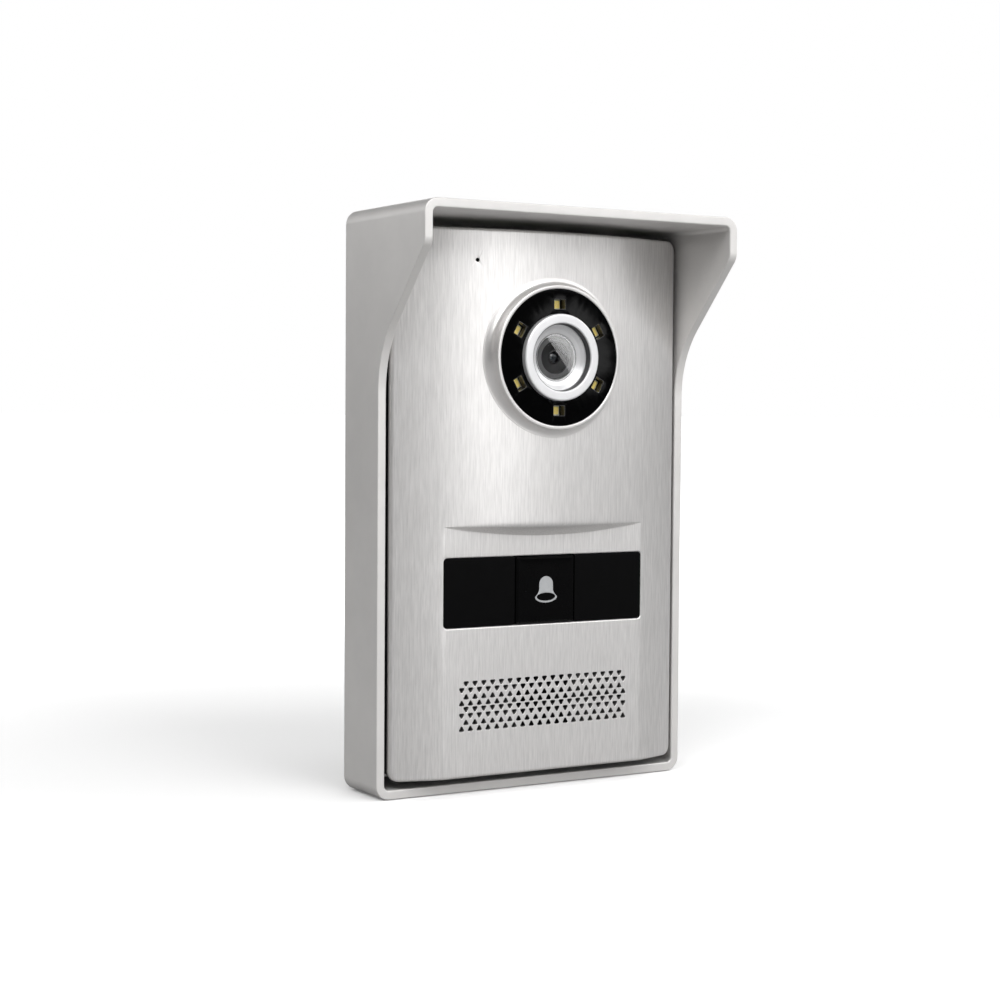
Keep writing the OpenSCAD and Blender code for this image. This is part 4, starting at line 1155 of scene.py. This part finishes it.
def makeGrommet():
    wide, tall = hood["cable"]
    spot = (0, hood["cableZ"])
    soft = grommet["round"]

    def body(inset):
        return roundedLoop(wide, tall, 3, spot, grommet["fit"] + inset)

    def collar(inset):
        return roundedLoop(wide + 2 * grommet["lip"], tall + 2 * grommet["lip"], 4, spot, inset)

    def bore(grow):
        return roundedLoop(wide - 2 * grommet["edge"], tall - 2 * grommet["edge"], 2, spot, -grow)
    shell = Shell()
    turns = quarter(soft)
    stack = [(bore(i), grommet["back"] + d) for i, d in reversed(turns)]
    stack += [(body(i), grommet["back"] + d) for i, d in turns]
    stack += [(body(0), grommet["step"]), (collar(0), grommet["step"])]
    stack += [(collar(i), grommet["front"] - d) for i, d in reversed(turns)]
    stack += [(bore(i), grommet["front"] - d) for i, d in turns]
    shell.closedRings(stack)
    return sharpened(shell.build("cableGrommet"), 40)


dress(makeGrommet(), blackRubber, "door_station", "black_rubber", "cable_grommet")
print("fasteners done")


# ---- The rest of the nodes keep their shape and get a finish ----

plain = {
    "zinc_steel": surface("zincSteel", (0.55, 0.55, 0.54), (0.45, 0.46, 0.47), 0.4, 0.1, 0.9, 120, bump=0.1),
    "screw_steel": screwSteel,
    "black_rubber": blackRubber,
    "housing_black": surface("housingBlack", (0.018, 0.018, 0.019), roughness=0.5, roughSpread=0.1, scale=300,
                             bump=0.25, grainScale=2500),
    "sensor_glass": surface("sensorGlass", (0.02, 0.025, 0.04), roughness=0.1, scale=500, coat=0.5),
    "board_green": surface("boardGreen", (0.01, 0.09, 0.035), (0.012, 0.11, 0.04), 0.35, scale=250, coat=0.3),
    "plunger_red": surface("plungerRed", (0.4, 0.03, 0.02), roughness=0.4, scale=500),
    "grille_backing": surface("grilleBacking", (0.1, 0.1, 0.1), (0.07, 0.07, 0.07), roughness=0.8, scale=900,
                              bump=0.3),
    "speaker_steel": surface("speakerSteel", (0.1, 0.1, 0.11), roughness=0.4, metallic=0.8, scale=300),
    "cone_film": surface("coneFilm", (0.004, 0.004, 0.004), roughness=0.6, scale=700),
    "magnet_steel": surface("magnetSteel", (0.4, 0.4, 0.41), roughness=0.3, metallic=0.9, scale=300),
    "can_aluminium": surface("canAluminium", (0.6, 0.6, 0.6), roughness=0.3, metallic=0.9, scale=300,
                             bump=0.1),
    "terminal_green": surface("terminalGreen", (0.02, 0.2, 0.06), (0.02, 0.24, 0.08), 0.4, scale=300,
                              bump=0.1),
    "relay_blue": surface("relayBlue", (0.02, 0.04, 0.12), roughness=0.35, scale=300, bump=0.1),
    "capacitor_sleeve": surface("capacitorSleeve", (0.02, 0.02, 0.03), roughness=0.3, scale=300, coat=0.3),
    "ribbon_white": surface("ribbonWhite", (0.7, 0.7, 0.66), roughness=0.4, scale=900),
    "connector_cream": surface("connectorCream", (0.65, 0.6, 0.48), roughness=0.5, scale=400)}
slots = {part["node"]: part["material_slot"] for part in frame["record"]["subparts"]}
for name, node in frame["nodes"].items():
    if not node.hide_render:
        finish = plain.get(slots.get(name))
        if finish is None:
            print("no finish for", name, slots.get(name))
            continue
        node.data.materials.clear()
        node.data.materials.append(finish)


# ---- Floor, light and camera ----

studio = {"nearGlow": 0.12, "farGlow": 1.1, "nearReach": 0.12, "farReach": 0.75, "floorBounce": 0.42,
          "leftRoom": 0.05, "rightRoom": 0.05, "ceiling": 0.05, "sun": (60, 30, 30, 0.3),
          "boxDistance": 1.6, "horizon": 0.7, "zenith": 0.9,
          "boxes": [("keyBox", -10, 38, (0.9, 0.9), 6.4), ("leftHighBox", -50, 42, (0.7, 0.6), 9.7),
                    ("highBox", 15, 38, (0.9, 0.9), 8.3), ("frontBox", 12, 6, (0.5, 0.6), 2.6),
                    ("frontRightBox", 31, 18, (0.8, 0.6), 1.8), ("rightBox", 56, 20, (0.9, 0.9), 3.1),
                    ("farRightBox", 70, 38, (0.9, 0.9), 2.6), ("sideBox", 100, 38, (0.9, 0.9), 2.8),
                    ("leftBack", -130, 25, (1.0, 1.0), 7.0), ("rightBack", 140, 25, (1.0, 1.0), 5.0)],
          "glint": {"window": 31.6, "distance": 1.5, "tilt": 54, "offset": 0.0046, "size": (0.09, 0.05),
                    "power": 0.06}}
floorMesh = bpy.data.meshes.new("floor")
floorMesh.from_pydata([(-30, -30, 0), (30, -30, 0), (30, 30, 0), (-30, 30, 0)], [], [(0, 1, 2, 3)])
floorMesh.transform(Matrix.Translation((0, 0, cadBox[0].z - 0.0002)))
floor = bpy.data.objects.new("floor", floorMesh)
bpy.context.scene.collection.objects.link(floor)


def seenAndLit(tree, seen, lit, output):
    # The camera sees one shader, and all other rays meet the other
    path = tree.nodes.new("ShaderNodeLightPath")
    mix = tree.nodes.new("ShaderNodeMixShader")
    tree.links.new(path.outputs["Is Camera Ray"], mix.inputs["Fac"])
    tree.links.new(lit.outputs[0], mix.inputs[1])
    tree.links.new(seen.outputs[0], mix.inputs[2])
    tree.links.new(mix.outputs[0], tree.nodes[output].inputs["Surface"])


def makePaper():
    # White to the eye, but only a grey card to the light that it throws back at the door station
    paper = surface("palePaper", (0.98, 0.98, 0.98), (0.97, 0.97, 0.97), roughness=0.9, scale=2,
                    glow=studio["nearGlow"], specular=0.1)
    nodes, links = paper.node_tree.nodes, paper.node_tree.links
    place = nodes.new("ShaderNodeTexCoord")
    reach = nodes.new("ShaderNodeVectorMath")
    reach.operation = "LENGTH"
    links.new(place.outputs["Object"], reach.inputs[0])
    fade = rangeNode(nodes, *(studio[k] for k in ("nearReach", "farReach", "nearGlow", "farGlow")))
    fade.interpolation_type = "SMOOTHSTEP"
    links.new(reach.outputs["Value"], fade.inputs["Value"])
    links.new(fade.outputs["Result"], nodes["Principled BSDF"].inputs["Emission Strength"])
    card = nodes.new("ShaderNodeBsdfDiffuse")
    card.inputs["Color"].default_value = (*[studio["floorBounce"]] * 3, 1)
    seenAndLit(paper.node_tree, nodes["Principled BSDF"], card, "Material Output")
    return paper


floor.data.materials.append(makePaper())


def makeWorld():
    # Seen directly it is white paper; what it lights and what it shows in gloss is a dimmer room
    world = bpy.data.worlds.new("studio")
    bpy.context.scene.world = world
    world.use_nodes = True
    nodes, links = world.node_tree.nodes, world.node_tree.links
    room = nodes["Background"]
    place = nodes.new("ShaderNodeTexCoord")
    axes = nodes.new("ShaderNodeSeparateXYZ")
    links.new(place.outputs["Generated"], axes.inputs[0])
    side = rangeNode(nodes, -studio["horizon"], studio["horizon"], studio["leftRoom"], studio["rightRoom"])
    links.new(axes.outputs["X"], side.inputs["Value"])
    rise = rangeNode(nodes, 0, studio["zenith"], 0, studio["ceiling"])
    links.new(axes.outputs["Z"], rise.inputs["Value"])
    total = nodes.new("ShaderNodeMath")
    links.new(side.outputs["Result"], total.inputs[0])
    links.new(rise.outputs["Result"], total.inputs[1])
    links.new(total.outputs[0], room.inputs["Strength"])
    white = nodes.new("ShaderNodeBackground")
    white.inputs["Color"].default_value = (1, 1, 1, 1)
    seenAndLit(world.node_tree, white, room, "World Output")


def towards(azimuth, elevation):
    # Azimuth is from the front, positive to the right as seen from the front
    turn, rise = math.radians(azimuth), math.radians(elevation)
    return Vector((math.sin(turn) * math.cos(rise), -math.cos(turn) * math.cos(rise), math.sin(rise)))


def addLamp(name, kind, power, size=None):
    data = bpy.data.lights.new(name, kind)
    data.energy = power
    if size:
        data.shape = "RECTANGLE"
        data.size, data.size_y = size
    light = bpy.data.objects.new(name, data)
    bpy.context.scene.collection.objects.link(light)
    return light


def softbox(name, azimuth, elevation, size, power):
    light = addLamp(name, "AREA", power, size)
    place = towards(azimuth, elevation) * studio["boxDistance"]
    light.location = place
    light.rotation_euler = (-place).to_track_quat("-Z", "Y").to_euler()


def sunLamp(name, azimuth, elevation, angle, strength):
    light = addLamp(name, "SUN", strength)
    light.data.angle = math.radians(angle)
    light.rotation_euler = (-towards(azimuth, elevation)).to_track_quat("-Z", "Y").to_euler()


view = {"place": (-316.7, -526.8, 27.3), "yaw": 31.02, "pitch": 2.58, "roll": 0.41, "lens": 72.14}
yaw, pitch, roll = (math.radians(view[k]) for k in ("yaw", "pitch", "roll"))
forward = Vector((math.sin(yaw) * math.cos(pitch), math.cos(yaw) * math.cos(pitch), -math.sin(pitch)))
level = Vector((math.cos(yaw), -math.sin(yaw), 0))
upward = level.cross(forward)
right = level * math.cos(roll) + upward * math.sin(roll)
upward = upward * math.cos(roll) - level * math.sin(roll)
cameraData = bpy.data.cameras.new("camera")
cameraData.lens = view["lens"]
cameraData.sensor_width = 36
cameraData.clip_start = 0.01
camera = bpy.data.objects.new("camera", cameraData)
camera.matrix_world = Matrix.Translation(Vector(view["place"]) * mm) @ Matrix(
    (right, upward, -forward)).transposed().to_4x4()
bpy.context.scene.collection.objects.link(camera)
bpy.context.scene.camera = camera
bpy.context.scene.view_settings.view_transform = "Standard"


def glintCard():
    # A dim card seen only in the lens window, with its lower left edge on a slant across it
    card = studio["glint"]
    window = Vector((0, -card["window"] * mm, cameraZ * mm))
    ray = window - camera.location
    ray.y = -ray.y
    ray.normalize()
    across = Vector((level.x, -level.y, 0))
    above = across.cross(ray)
    if above.z < 0:
        above = -above
    slant = math.radians(card["tilt"])
    along = across * math.cos(slant) - above * math.sin(slant)
    outward = across * math.sin(slant) + above * math.cos(slant)
    place = window + ray * card["distance"] + outward * (card["size"][1] / 2 + card["offset"])
    turn = Matrix((along, ray.cross(along), ray)).transposed().to_4x4()
    light = addLamp("glintCard", "AREA", card["power"], card["size"])
    light.matrix_world = Matrix.Translation(place) @ turn


makeWorld()
sunLamp("skylight", *studio["sun"])
for box in studio["boxes"]:
    softbox(*box)
glintCard()
